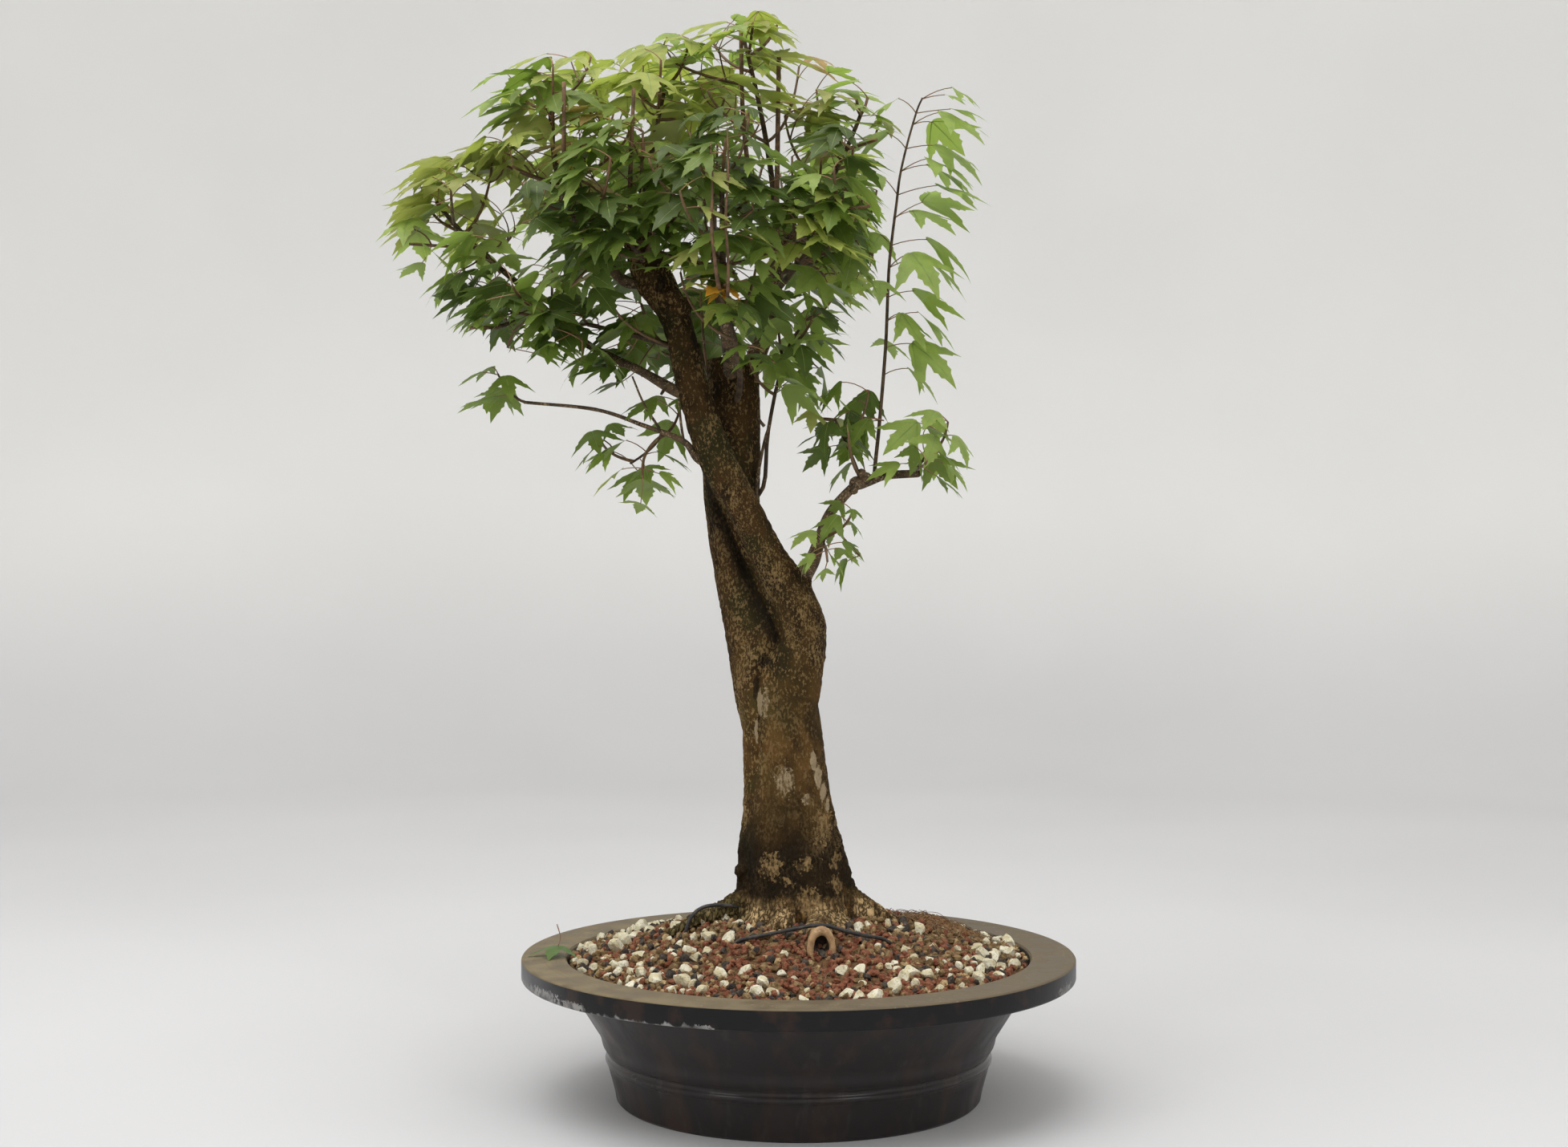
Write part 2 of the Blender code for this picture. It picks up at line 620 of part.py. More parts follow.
def stem_line(mass):
    """The places of a mass's stem, from its anchor to just past the middle of the space."""
    anchor = Vector(mass.anchor)
    if mass.path:
        count = len(mass.path)
        stops = [(*mass.anchor, STEM_RADIUS)]
        for step, point in enumerate(mass.path, 1):
            taper = STEM_RADIUS + (STEM_TIP_RADIUS - STEM_RADIUS) * step / count
            stops.append((*point, taper))
        return smooth_line(stops, 1)
    centre = Vector(mass.centre)
    past = (centre - anchor).normalized() * min(mass.radii) * STEM_PAST_MIDDLE
    end = centre + past
    bend = anchor + Vector(mass.out).normalized() * (end - anchor).length * STEM_BEND
    line = []
    for step in range(STEM_STRETCHES + 1):
        t = step / STEM_STRETCHES
        place = anchor * (1 - t) ** 2 + bend * 2 * t * (1 - t) + end * t ** 2
        line.append(Vector((*place, STEM_RADIUS + (STEM_TIP_RADIUS - STEM_RADIUS) * t)))
    return line


def spread_directions(count):
    """Directions spread evenly over a sphere."""
    golden = math.pi * (3 - math.sqrt(5))
    for step in range(count):
        height = 1 - (2 * step + 1) / count
        around = golden * step
        flat = math.sqrt(1 - height ** 2)
        yield Vector((flat * math.cos(around), flat * math.sin(around), height))


def shoot_line(start, heading, target):
    """The places of a shoot that leaves its stem along heading and bends to the target."""
    length = (target - start).length
    bend = start + heading * length * SHOOT_BEND
    line = []
    for step in range(SHOOT_STRETCHES + 1):
        t = step / SHOOT_STRETCHES
        place = start * (1 - t) ** 2 + bend * 2 * t * (1 - t) + target * t ** 2
        line.append(Vector((*place, SHOOT_RADIUS + (SHOOT_TIP_RADIUS - SHOOT_RADIUS) * t)))
    return line


def branch_off(stem, target):
    """Where on the stem a shoot to the target starts, and which way it sets out."""
    tangents = tangents_of(stem)
    best = None
    for row, tangent in list(zip(stem, tangents))[1:]:
        way = target - row.xyz
        lean = way.normalized().dot(tangent)
        cost = way.length * (FORWARD_BONUS - lean)
        if best is None or cost < best[0]:
            best = (cost, row.xyz, (way.normalized() + tangent * FORWARD_LEAN).normalized())
    return best[1:]


def place_at(line, distance):
    """The place on the line that is this far along it."""
    for low, high in zip(line, line[1:]):
        length = (high.xyz - low.xyz).length
        if distance <= length:
            return low.lerp(high, distance / length)
        distance -= length
    return line[-1].copy()


@dataclass(frozen=True)
class Seat:
    """A face of a twig that a leaf may be drawn out of: index, middle, way out and bend axis."""

    face: int
    place: Vector
    way: Vector
    bend: Vector


class Twig:
    """A three-sided twig with a narrow band at each node, whose faces the leaves are drawn out of."""

    def __init__(self, line):
        self.line = line
        rows, bands = self.banded(line)
        rings = rings_along(rows, TWIG_SIDES)
        self.points = [point for ring in rings for point in ring]
        self.faces = [tuple(reversed(range(TWIG_SIDES)))]
        self.nodes = []
        for count in range(len(rings) - 1):
            low, high = count * TWIG_SIDES, (count + 1) * TWIG_SIDES
            if count in bands:
                self.nodes.insert(0, len(self.faces))
            for here in range(TWIG_SIDES):
                after = (here + 1) % TWIG_SIDES
                self.faces.append((low + here, low + after, high + after, high + here))
        self.tip = len(self.faces)
        self.faces.append(tuple(range(len(self.points) - TWIG_SIDES, len(self.points))))
        self.tree = BVHTree.FromPolygons(self.points, self.faces)

    def banded(self, line):
        """The rows for the twig's rings, and which of them begin a band, from the tip back."""
        total = sum((high.xyz - low.xyz).length for low, high in zip(line, line[1:]))
        starts = []
        start = total - BAND
        while start > total * BARE_SHARE:
            starts.insert(0, start)
            start -= PAIR_SPACING
        rows = []
        along = 0.0
        for low, high in zip(line, line[1:]):
            if along < starts[0] - BAND:
                rows.append(low)
            along += (high.xyz - low.xyz).length
        bands = []
        for start in starts:
            bands.append(len(rows))
            rows += [place_at(line, start), place_at(line, start + BAND)]
        return rows, bands

    def seats(self):
        """The faces that leaves may be drawn out of: a pair at each node, and the tip."""
        faces = [self.tip]
        for count, node in enumerate(self.nodes):
            faces += [node + count % TWIG_SIDES, node + (count + 1) % TWIG_SIDES]
        found = []
        for face in faces:
            corners = [self.points[index] for index in self.faces[face]]
            place = sum(corners, Vector()) / len(corners)
            way = (corners[1] - corners[0]).cross(corners[-1] - corners[0]).normalized()
            bend = Vector((0, 0, 1)) if face == self.tip else (corners[3] - corners[0]).normalized()
            found.append(Seat(face, place, way, bend))
        return found

    def draw_out(self, seat, root, blade):
        """Opens the seat's face and skins a leaf on to it, unless the twig would then cross itself."""
        points = self.points + blade
        corners = list(root) + list(range(len(self.points), len(points)))
        faces = list(self.faces)
        faces[seat.face] = None
        faces += [tuple(corners[index] for index in face) for face in leaf_faces(len(root))]
        closed = [face for face in faces if face]
        tree = BVHTree.FromPolygons(points, closed)
        if any(not set(closed[one]) & set(closed[other]) for one, other in tree.overlap(tree)):
            return False
        self.points, self.faces = points, faces
        return True

    def mesh(self):
        """The twig with its leaves as a bmesh."""
        bm = bmesh.new()
        verts = [bm.verts.new(point) for point in self.points]
        for face in self.faces:
            if face:
                bm.faces.new([verts[index] for index in face])
        return bm


class Crown:
    """Grows every mass in its own space, clear of the limbs and of the other masses."""

    def __init__(self, limbs):
        graph = bpy.context.evaluated_depsgraph_get()
        self.limbs = [BVHTree.FromObject(limb, graph) for limb in limbs]
        self.stems = {mass.name: Twig(stem_line(mass)) for mass in MASSES}
        self.shoots = {mass.name: self.grow_shoots(mass) for mass in MASSES}
        self.leaf_trees = []

    def clear_of_limbs(self, point, clearance):
        """Whether the point keeps its distance from every limb."""
        return all(tree.find_nearest(point, clearance)[0] is None for tree in self.limbs)

    def clear_of_stems(self, mass, point, clearance):
        """Whether the point keeps its distance from the other masses' stems."""
        return all(
            stem.tree.find_nearest(point, clearance)[0] is None
            for name, stem in self.stems.items() if name != mass.name
        )

    def grow_shoots(self, mass):
        """The mass's shoots, each ended where it would leave the space or meet a limb."""
        neighbours = neighbours_of(mass)
        stem = self.stems[mass.name].line
        centre = Vector(mass.centre)
        shoots = []
        for way in spread_directions(max(2, round(mass.leaves / LEAVES_PER_SHOOT))):
            reach = Vector([u * radius * SHOOT_REACH for u, radius in zip(way, mass.radii)])
            start, heading = branch_off(stem, centre + reach)
            line = shoot_line(start, heading, centre + reach)
            kept = [line[0]]
            for low, high in zip(line, line[1:]):
                tests = [
                    low.xyz.lerp(high.xyz, step / SHOOT_TESTS) for step in range(1, SHOOT_TESTS + 1)
                ]
                if not all(
                    in_space(mass, neighbours, point)
                    and self.clear_of_limbs(point, SHOOT_CLEARANCE)
                    and self.clear_of_stems(mass, point, SHOOT_CLEARANCE)
                    for point in tests
                ):
                    break
                kept.append(high)
            if len(kept) > 1:
                shoots.append(Twig(kept))
        return shoots

    def grow_leaves(self, mass):
        """Draws the mass's leaves out of its stem and shoots, the outermost first."""
        dice = random.Random(f"{SEED} {mass.name}")
        neighbours = neighbours_of(mass)
        places = []
        for twig in [*self.shoots[mass.name], self.stems[mass.name]]:
            places += [(depth_in(mass, seat.place), twig, seat) for seat in twig.seats()]
        places.sort(key=lambda found: -found[0])
        grown = 0
        for _, twig, seat in places:
            if grown == mass.leaves:
                break
            jitter = dice.uniform(-LEAF_JITTER, LEAF_JITTER)
            grown += self.first_fit(mass, neighbours, twig, seat, jitter)

    def first_fit(self, mass, neighbours, twig, seat, jitter):
        """Draws a leaf out of the seat in the first lay that fits, the largest tried first."""
        for share in LEAF_SIZES:
            for droop in LEAF_DROOPS:
                for turn in LEAF_TURNS:
                    ahead = Matrix.Rotation(turn + jitter, 3, seat.bend) @ seat.way
                    ahead = (ahead - Vector((0, 0, droop))).normalized()
                    if ahead.dot(seat.way) < LEAST_RISE:
                        continue
                    if self.try_leaf(mass, neighbours, twig, seat, ahead, share * mass.leaf_size):
                        return True
        return False

    def try_leaf(self, mass, neighbours, twig, seat, ahead, size):
        """Draws a leaf of this lay out of the seat if it fits there."""
        place = seat.place
        up = Vector((0, 0, 1)) + (place - Vector(mass.centre)).normalized() * LEAF_OUTWARD
        across = up.cross(ahead)
        if across.length < LEAST_ACROSS:
            across = Vector((0, 1, 0)).cross(ahead)
        across.normalize()
        frame = Matrix((ahead, across, ahead.cross(across))).transposed().to_4x4()
        frame.translation = place
        blade = [frame @ point for point in leaf_points(mass.stalk * size, BLADE * size)]
        middles = [blade[-1].lerp(point, LEAF_MIDDLE_SHARE) for point in blade[:-1]]
        for point in blade + middles:
            if not in_space(mass, neighbours, point):
                return False
            if not self.clear_of_limbs(point, LIMB_CLEARANCE):
                return False
            if not self.clear_of_stems(mass, point, LIMB_CLEARANCE):
                return False
        root = self.ordered_root(twig, seat, frame)
        starts = [twig.points[index].lerp(blade[-1], STALK_TEST_SHARE) for index in root]
        tree = BVHTree.FromPolygons(starts + blade, leaf_faces(len(root)))
        rivals = [stem.tree for stem in self.stems.values()]
        rivals += [shoot.tree for shoots in self.shoots.values() for shoot in shoots]
        rivals += self.limbs
        rivals += [
            other for spot, other in self.leaf_trees if (spot - place).length < LEAF_RIVAL_RANGE
        ]
        if any(tree.overlap(other) for other in rivals):
            return False
        if not twig.draw_out(seat, root, blade):
            return False
        self.leaf_trees.append((place, tree))
        return True

    def ordered_root(self, twig, seat, frame):
        """The seat's corners in their own order, starting at the left and lower one as the leaf lies."""
        side = frame.col[1].xyz - frame.col[2].xyz
        corners = twig.faces[seat.face]
        first = max(range(len(corners)), key=lambda index: twig.points[corners[index]].dot(side))
        return corners[first:] + corners[:first]

    def build_mass(self, mass, finish):
        """Grows the leaves of a mass and fuses its stem and shoots into one solid."""
        self.grow_leaves(mass)
        body = add_object(mass.name, self.stems[mass.name].mesh(), finish)
        combine(body, "DIFFERENCE", trimmers_of(mass.carrier, finish))
        shoots = [add_object("shoot", shoot.mesh(), finish) for shoot in self.shoots[mass.name]]
        combine(body, "UNION", shoots)
        keep_main_body(body)
        return body


def leaf_points(stalk, blade):
    """The blade's points in the leaf's own frame: base, lobe and notch left, tip, the same right, crest."""
    def at(reach, spread, drop):
        return Vector((stalk + blade * reach, blade * spread, -blade * drop))

    return [
        at(0.0, BASE_SPREAD, 0.0),
        at(LOBE_REACH, LOBE_SPREAD, LOBE_DROOP),
        at(NOTCH_REACH, NOTCH_SPREAD, LOBE_DROOP / 3),
        at(1.0, 0.0, TIP_DROOP),
        at(NOTCH_REACH, -NOTCH_SPREAD, LOBE_DROOP / 3),
        at(LOBE_REACH, -LOBE_SPREAD, LOBE_DROOP),
        at(0.0, -BASE_SPREAD, 0.0),
        Vector((stalk + blade * CREST_REACH, 0, CREST_HEIGHT)),
    ]


def leaf_faces(corners):
    """The faces of a leaf as indices: its root corners come first, then the points of leaf_points.

    The upper side fans out from the crest, the lower side is flat between the notches, and the stalk
    joins the root corners to the blade's base and crest.
    """
    left, left_lobe, left_notch, tip, right_notch, right_lobe, right, crest = range(corners, corners + 8)
    last = corners - 1
    upper = [
        (crest, left, left_lobe), (crest, left_lobe, left_notch), (crest, left_notch, tip),
        (crest, tip, right_notch), (crest, right_notch, right_lobe), (crest, right_lobe, right),
    ]
    lower = [
        (left, left_notch, left_lobe), (left_notch, right_notch, tip), (right_notch, right, right_lobe),
        (left, right, left_notch), (right, right_notch, left_notch),
    ]
    stalk = [
        (0, 1, left), (1, crest, left), (last - 1, right, crest), (last - 1, last, right),
        (0, left, right), (0, right, last),
    ]
    if corners == 4:
        stalk.append((1, 2, crest))
    return upper + lower + stalk


def main():
    """Builds pot, soil, trunk, stems, boughs and masses in that order."""
    clear_scene()
    bark = material("bark", (0.110, 0.072, 0.044), 0.85)
    twig_bark = material("young_bark", (0.130, 0.070, 0.045), 0.7)
    glaze = material("pot_glaze", (0.040, 0.030, 0.026), 0.35)
    grit = material("grit", (0.180, 0.110, 0.080), 0.95)
    finishes = {name: material(name, colour, 0.6) for name, colour in TINTS.items()}
    build_pot(glaze)
    build_soil(grit)
    limbs = [build_trunk(bark), build_cut_root(bark)]
    limbs += [build_stem(name, bark) for name in ("front_stem", "rear_stem")]
    hollow_stump(limbs[-1], bark)
    limbs += [build_bough(bough, twig_bark) for bough in BOUGHS]
    crown = Crown(limbs)
    for mass in MASSES:
        crown.build_mass(mass, finishes[mass.tint])


main()
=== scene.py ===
"""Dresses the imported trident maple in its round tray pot, and sets up the plain studio it stands in.

All is in metres, +Z up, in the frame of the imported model: the origin is the middle of the pot's flat
underside and the tree's front faces -Y. The limbs follow the stops of the source, made finer, with the
bark's relief worked in. The masses of foliage grow again by the source's rule, carried on to finer twigs
and to single leaves on their own stalks. Pot, soil, grit and wire are modelled to match.
"""

import json
import logging
import math
import random
from dataclasses import dataclass, field
from enum import Enum

import bmesh
import bpy
import numpy as np
from mathutils import Matrix, Vector
from mathutils.bvhtree import BVHTree
from mathutils.geometry import delaunay_2d_cdt

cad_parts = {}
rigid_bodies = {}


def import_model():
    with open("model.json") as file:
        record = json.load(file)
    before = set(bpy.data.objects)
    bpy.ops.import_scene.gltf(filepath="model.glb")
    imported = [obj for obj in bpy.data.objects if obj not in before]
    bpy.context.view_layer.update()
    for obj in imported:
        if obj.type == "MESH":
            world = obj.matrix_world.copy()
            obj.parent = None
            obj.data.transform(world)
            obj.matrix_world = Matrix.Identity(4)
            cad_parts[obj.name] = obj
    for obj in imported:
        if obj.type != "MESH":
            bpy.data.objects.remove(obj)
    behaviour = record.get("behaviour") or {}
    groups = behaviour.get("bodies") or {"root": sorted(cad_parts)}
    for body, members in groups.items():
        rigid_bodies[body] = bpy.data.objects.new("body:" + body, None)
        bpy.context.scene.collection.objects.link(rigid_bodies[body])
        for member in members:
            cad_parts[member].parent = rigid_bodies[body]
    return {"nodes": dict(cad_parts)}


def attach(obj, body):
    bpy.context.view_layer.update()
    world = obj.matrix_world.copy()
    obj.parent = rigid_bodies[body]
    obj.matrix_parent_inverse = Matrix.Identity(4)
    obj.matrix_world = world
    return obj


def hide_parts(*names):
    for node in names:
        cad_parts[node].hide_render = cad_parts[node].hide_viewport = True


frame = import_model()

LOG = logging.getLogger("bonsai")
SEED = 7

# Trunk: (height, middle x, half width, half depth, root ridge share) at each level
TRUNK_LEVELS = (
    (0.15, 0.0008, 0.066, 0.063, 0.17),
    (0.1553, 0.0005, 0.0625, 0.06, 0.15),
    (0.163, -0.0002, 0.0555, 0.054, 0.11),
    (0.172, -0.001, 0.0512, 0.0495, 0.07),
    (0.185, -0.0025, 0.0488, 0.0465, 0.045),
    (0.202, -0.0045, 0.0468, 0.0445, 0.03),
    (0.22, -0.0067, 0.0446, 0.042, 0.025),
    (0.255, -0.0091, 0.0382, 0.037, 0.02),
    (0.29, -0.0119, 0.036, 0.034, 0.015),
    (0.325, -0.0154, 0.0342, 0.032, 0.01),
    (0.36, -0.02, 0.0345, 0.028, 0.01),
    (0.395, -0.02, 0.029, 0.021, 0.01),
    (0.415, -0.021, 0.015, 0.012, 0.01),
)

# Stops of a limb are (x, y, z, radius)
FRONT_STEM = (
    (-0.01, -0.004, 0.305, 0.018),
    (-0.006, -0.01, 0.345, 0.024),
    (-0.001, -0.013, 0.38, 0.0235),
    (0.003, -0.014, 0.4108, 0.021),
    (-0.0095, -0.014, 0.4409, 0.019),
    (-0.0216, -0.018, 0.4612, 0.0165),
    (-0.034, -0.022, 0.4826, 0.0158),
    (-0.0713, -0.026, 0.5568, 0.0156),
    (-0.0897, -0.025, 0.6114, 0.0143),
    (-0.1047, -0.022, 0.6698, 0.013),
    (-0.126, -0.02, 0.7097, 0.0172),
    (-0.139, -0.018, 0.7447, 0.013),
)
REAR_STEM = (
    (-0.022, 0.004, 0.29, 0.02),
    (-0.027, 0.009, 0.335, 0.0255),
    (-0.032, 0.012, 0.37, 0.0268),
    (-0.0385, 0.014, 0.405, 0.0265),
    (-0.0466, 0.015, 0.4367, 0.025),
    (-0.0578, 0.018, 0.5067, 0.0245),
    (-0.0592, 0.02, 0.5487, 0.025),
    (-0.057, 0.021, 0.6047, 0.0228),
    (-0.0585, 0.022, 0.6432, 0.0222),
)

# Surface roots that swell out of the foot of the trunk
SURFACE_ROOTS = (
    ((-0.03, -0.006, 0.184, 0.012), (-0.054, -0.01, 0.1665, 0.0112), (-0.075, -0.014, 0.159, 0.0085),
     (-0.094, -0.02, 0.1535, 0.006), (-0.112, -0.028, 0.144, 0.004)),
    ((0.03, 0.0, 0.184, 0.012), (0.05, -0.002, 0.1665, 0.0112), (0.066, -0.004, 0.159, 0.0085),
     (0.084, -0.006, 0.15, 0.005)),
    ((-0.006, -0.03, 0.18, 0.013), (-0.012, -0.052, 0.163, 0.011), (-0.017, -0.072, 0.153, 0.007)),
    ((0.02, 0.028, 0.18, 0.014), (0.032, 0.05, 0.164, 0.011), (0.044, 0.072, 0.151, 0.007)),
    ((-0.024, 0.026, 0.18, 0.013), (-0.04, 0.046, 0.163, 0.011), (-0.056, 0.066, 0.151, 0.007)),
)

# What fills the bottom of the groove between the two stems
FORK_WEB = (
    (-0.01, -0.004, 0.36, 0.02), (-0.016, -0.001, 0.4, 0.0185), (-0.027, 0.0, 0.44, 0.015),
    (-0.042, 0.0, 0.485, 0.011), (-0.053, 0.0, 0.52, 0.007),
)

# Burrs and collars on trunk and stems: (x, y, z, radius)
BURRS = (
    (-0.05, -0.012, 0.196, 0.0062), (0.034, -0.018, 0.218, 0.005), (-0.036, -0.01, 0.262, 0.0045),
    (0.0215, -0.012, 0.3812, 0.0032), (-0.005, -0.03, 0.402, 0.005), (0.0272, -0.01, 0.246, 0.0055),
    (0.0035, -0.014, 0.4475, 0.0092), (-0.101, -0.028, 0.683, 0.01), (-0.109, -0.033, 0.692, 0.0075),
    (-0.132, -0.031, 0.698, 0.007),
)


@dataclass(frozen=True)
class Bough:
    """A tapering bough: its node's name and its stops."""

    name: str
    stops: tuple


BOUGHS = (
    Bough("leader", (
        (-0.054, 0.022, 0.62, 0.0085), (-0.0389, 0.022, 0.642, 0.0085),
        (-0.0263, 0.021, 0.675, 0.0078), (-0.0207, 0.02, 0.713, 0.0068),
        (-0.019, 0.02, 0.745, 0.006),
    )),
    Bough("right_branch", (
        (-0.004, -0.014, 0.44, 0.0085), (0.004, -0.014, 0.452, 0.0078),
        (0.012, -0.014, 0.4654, 0.0062), (0.0188, -0.013, 0.4852, 0.0052),
        (0.0265, -0.011, 0.505, 0.0045), (0.0371, -0.008, 0.5186, 0.0043),
        (0.0477, -0.005, 0.5292, 0.0044), (0.0545, -0.004, 0.5331, 0.0056),
        (0.0674, -0.002, 0.5368, 0.004), (0.0766, 0.0, 0.5399, 0.003),
        (0.1023, 0.002, 0.5414, 0.0026),
    )),
    Bough("left_bough", (
        (-0.129, -0.02, 0.706, 0.006), (-0.152, -0.019, 0.708, 0.0048),
        (-0.183, -0.015, 0.746, 0.0041), (-0.205, -0.012, 0.78, 0.0037),
    )),
    Bough("left_low_bough", (
        (-0.093, -0.025, 0.608, 0.0062), (-0.1074, -0.023, 0.6124, 0.0048),
        (-0.1382, -0.01, 0.6306, 0.0038), (-0.1796, 0.006, 0.6516, 0.0033),
        (-0.2111, 0.012, 0.6761, 0.003), (-0.2391, 0.012, 0.7027, 0.0027),
        (-0.2741, 0.008, 0.732, 0.0024),
    )),
    Bough("left_thin_branch", (
        (-0.074, -0.026, 0.548, 0.005), (-0.087, -0.027, 0.553, 0.0036),
        (-0.0998, -0.026, 0.5683, 0.0028), (-0.1348, -0.02, 0.5823, 0.0019),
        (-0.176, -0.012, 0.5963, 0.0016), (-0.239, -0.004, 0.6033, 0.0014),
    )),
    Bough("front_bough", (
        (-0.0585, 0.01, 0.622, 0.007), (-0.06, -0.01, 0.64, 0.0058),
        (-0.062, -0.05, 0.67, 0.0048), (-0.063, -0.09, 0.7, 0.004),
    )),
    Bough("back_bough", (
        (-0.0585, 0.03, 0.618, 0.0074), (-0.06, 0.052, 0.64, 0.006),
        (-0.07, 0.084, 0.7, 0.005), (-0.078, 0.11, 0.76, 0.0042),
    )),
    Bough("back_left_bough", (
        (-0.133, -0.01, 0.72, 0.0066), (-0.142, 0.01, 0.733, 0.0052),
        (-0.16, 0.045, 0.76, 0.0044), (-0.175, 0.08, 0.78, 0.0038),
    )),
)

# Bare twigs, dead spurs and pruned sticks that the photo shows, each starting inside what carries it
BARE_TWIGS = (
    ((-0.099, -0.026, 0.568, 0.0013), (-0.1013, -0.028, 0.585, 0.0011), (-0.1028, -0.03, 0.604, 0.0009)),
    ((-0.12, -0.022, 0.579, 0.0013), (-0.133, -0.028, 0.6, 0.001), (-0.1425, -0.034, 0.623, 0.0008)),
    ((-0.112, -0.02, 0.615, 0.002), (-0.115, -0.026, 0.613, 0.0016), (-0.118, -0.03, 0.608, 0.0012)),
    ((-0.037, 0.01, 0.52, 0.0016), (-0.036, 0.002, 0.537, 0.0015), (-0.0295, 0.0, 0.57, 0.0013),
     (-0.025, 0.0, 0.584, 0.0011)),
    ((-0.03, 0.002, 0.583, 0.0016), (-0.0325, 0.0, 0.586, 0.0013), (-0.035, -0.002, 0.59, 0.001)),
    ((0.064, -0.002, 0.5362, 0.0046), (0.0766, 0.0, 0.5399, 0.0039), (0.1023, 0.002, 0.5414, 0.0034),
     (0.1048, 0.002, 0.5416, 0.0031)),
)
PRUNED_STICKS = (
    ((-0.203, -0.013, 0.777, 0.0024), (-0.2, -0.06, 0.78, 0.0021), (-0.1955, -0.088, 0.8, 0.0019),
     (-0.195, -0.09, 0.862, 0.0016)),
    ((-0.1385, -0.02, 0.742, 0.0026), (-0.142, -0.06, 0.76, 0.0022), (-0.14, -0.09, 0.786, 0.0019),
     (-0.137, -0.092, 0.856, 0.0015)),
    ((-0.063, -0.08, 0.696, 0.0022), (-0.065, -0.135, 0.685, 0.0017), (-0.0675, -0.162, 0.702, 0.0014),
     (-0.07, -0.171, 0.73, 0.0012), (-0.0692, -0.168, 0.762, 0.0011), (-0.0712, -0.164, 0.796, 0.0008)),
    ((-0.06, -0.08, 0.693, 0.002), (-0.058, -0.138, 0.68, 0.0015), (-0.057, -0.162, 0.702, 0.0012),
     (-0.059, -0.166, 0.735, 0.0011), (-0.057, -0.166, 0.77, 0.001), (-0.0576, -0.164, 0.808, 0.0007)),
    ((-0.02, 0.02, 0.73, 0.003), (-0.019, -0.01, 0.77, 0.0024), (-0.018, -0.03, 0.83, 0.0021),
     (-0.017, -0.034, 0.896, 0.0019)),
    ((-0.019, 0.02, 0.742, 0.0028), (-0.04, 0.0, 0.79, 0.0022), (-0.048, -0.01, 0.85, 0.002),
     (-0.05, -0.012, 0.924, 0.0017)),
)

# Knots at the right branch's elbow: (x, y, z, radius)
KNOTS = (
    (0.05, -0.006, 0.5325, 0.0064), (0.0585, -0.006, 0.5368, 0.0058), (0.0545, -0.009, 0.5412, 0.0042),
    (0.048, -0.01, 0.5265, 0.004),
)

# The stub of a sawn root that looks out of the soil in front
CUT_ROOT = (
    (0.016, -0.045, 0.1555, 0.0112), (0.0165, -0.065, 0.1535, 0.0113),
    (0.0175, -0.088, 0.151, 0.0108), (0.0181, -0.104, 0.1492, 0.0106),
)

# Pot: (radius, height) of its outside from foot to neck, and of its inside from neck to floor
POT_HEIGHT = 0.124
LIP_RADIUS = 0.24
LIP_WIDTH = 0.039
LIP_DEPTH = 0.018
FOOT_RADIUS = 0.1585
NECK_RADIUS = 0.2
FLOOR_THICKNESS = 0.01
WALL_THICKNESS = 0.008
DRAIN_RADIUS = 0.012
DRAIN_RING = 0.085
DRAIN_COUNT = 4
POT_BODY = (
    (FOOT_RADIUS, 0.002), (0.16, 0.01), (0.1655, 0.03), (0.1679, 0.0358), (0.1657, 0.0408),
    (0.17, 0.048), (0.1725, 0.057), (0.1785, 0.067), (0.196, 0.095),
    (NECK_RADIUS, 0.103),
)
POT_INSIDE = (
    (NECK_RADIUS - WALL_THICKNESS, POT_HEIGHT - LIP_DEPTH), (0.171, 0.0685), (0.1595, 0.038),
    (FOOT_RADIUS - WALL_THICKNESS, FLOOR_THICKNESS),
)

# Soil: (radius, height) of its top from the trunk out to the pot's wall
SOIL_TOP = ((0.0, 0.153), (0.06, 0.153), (0.076, 0.152), (0.1, 0.144), (0.15, 0.131), (0.1985, 0.1185))


class Habit(Enum):
    """How a mass grows from its stem: with shoots all round, or as one wand with leaves in pairs."""

    BUSHY = "bushy"
    WAND = "wand"


@dataclass(frozen=True)
class Mass:
    """A mass of foliage: its egg-shaped space, its share of leaves, and where its stem starts and runs."""

    name: str
    centre: tuple
    radii: tuple
    leaves: int
    anchor: tuple
    out: tuple
    path: tuple = ()
    stalk: float = 0.022
    leaf_size: float = 1.0
    habit: Habit = Habit.BUSHY
    lean: tuple = (0, 0, 0)
    hang: float = 0.0
    stem: tuple = (0.003, 0.0017)
    room: float = 1.0


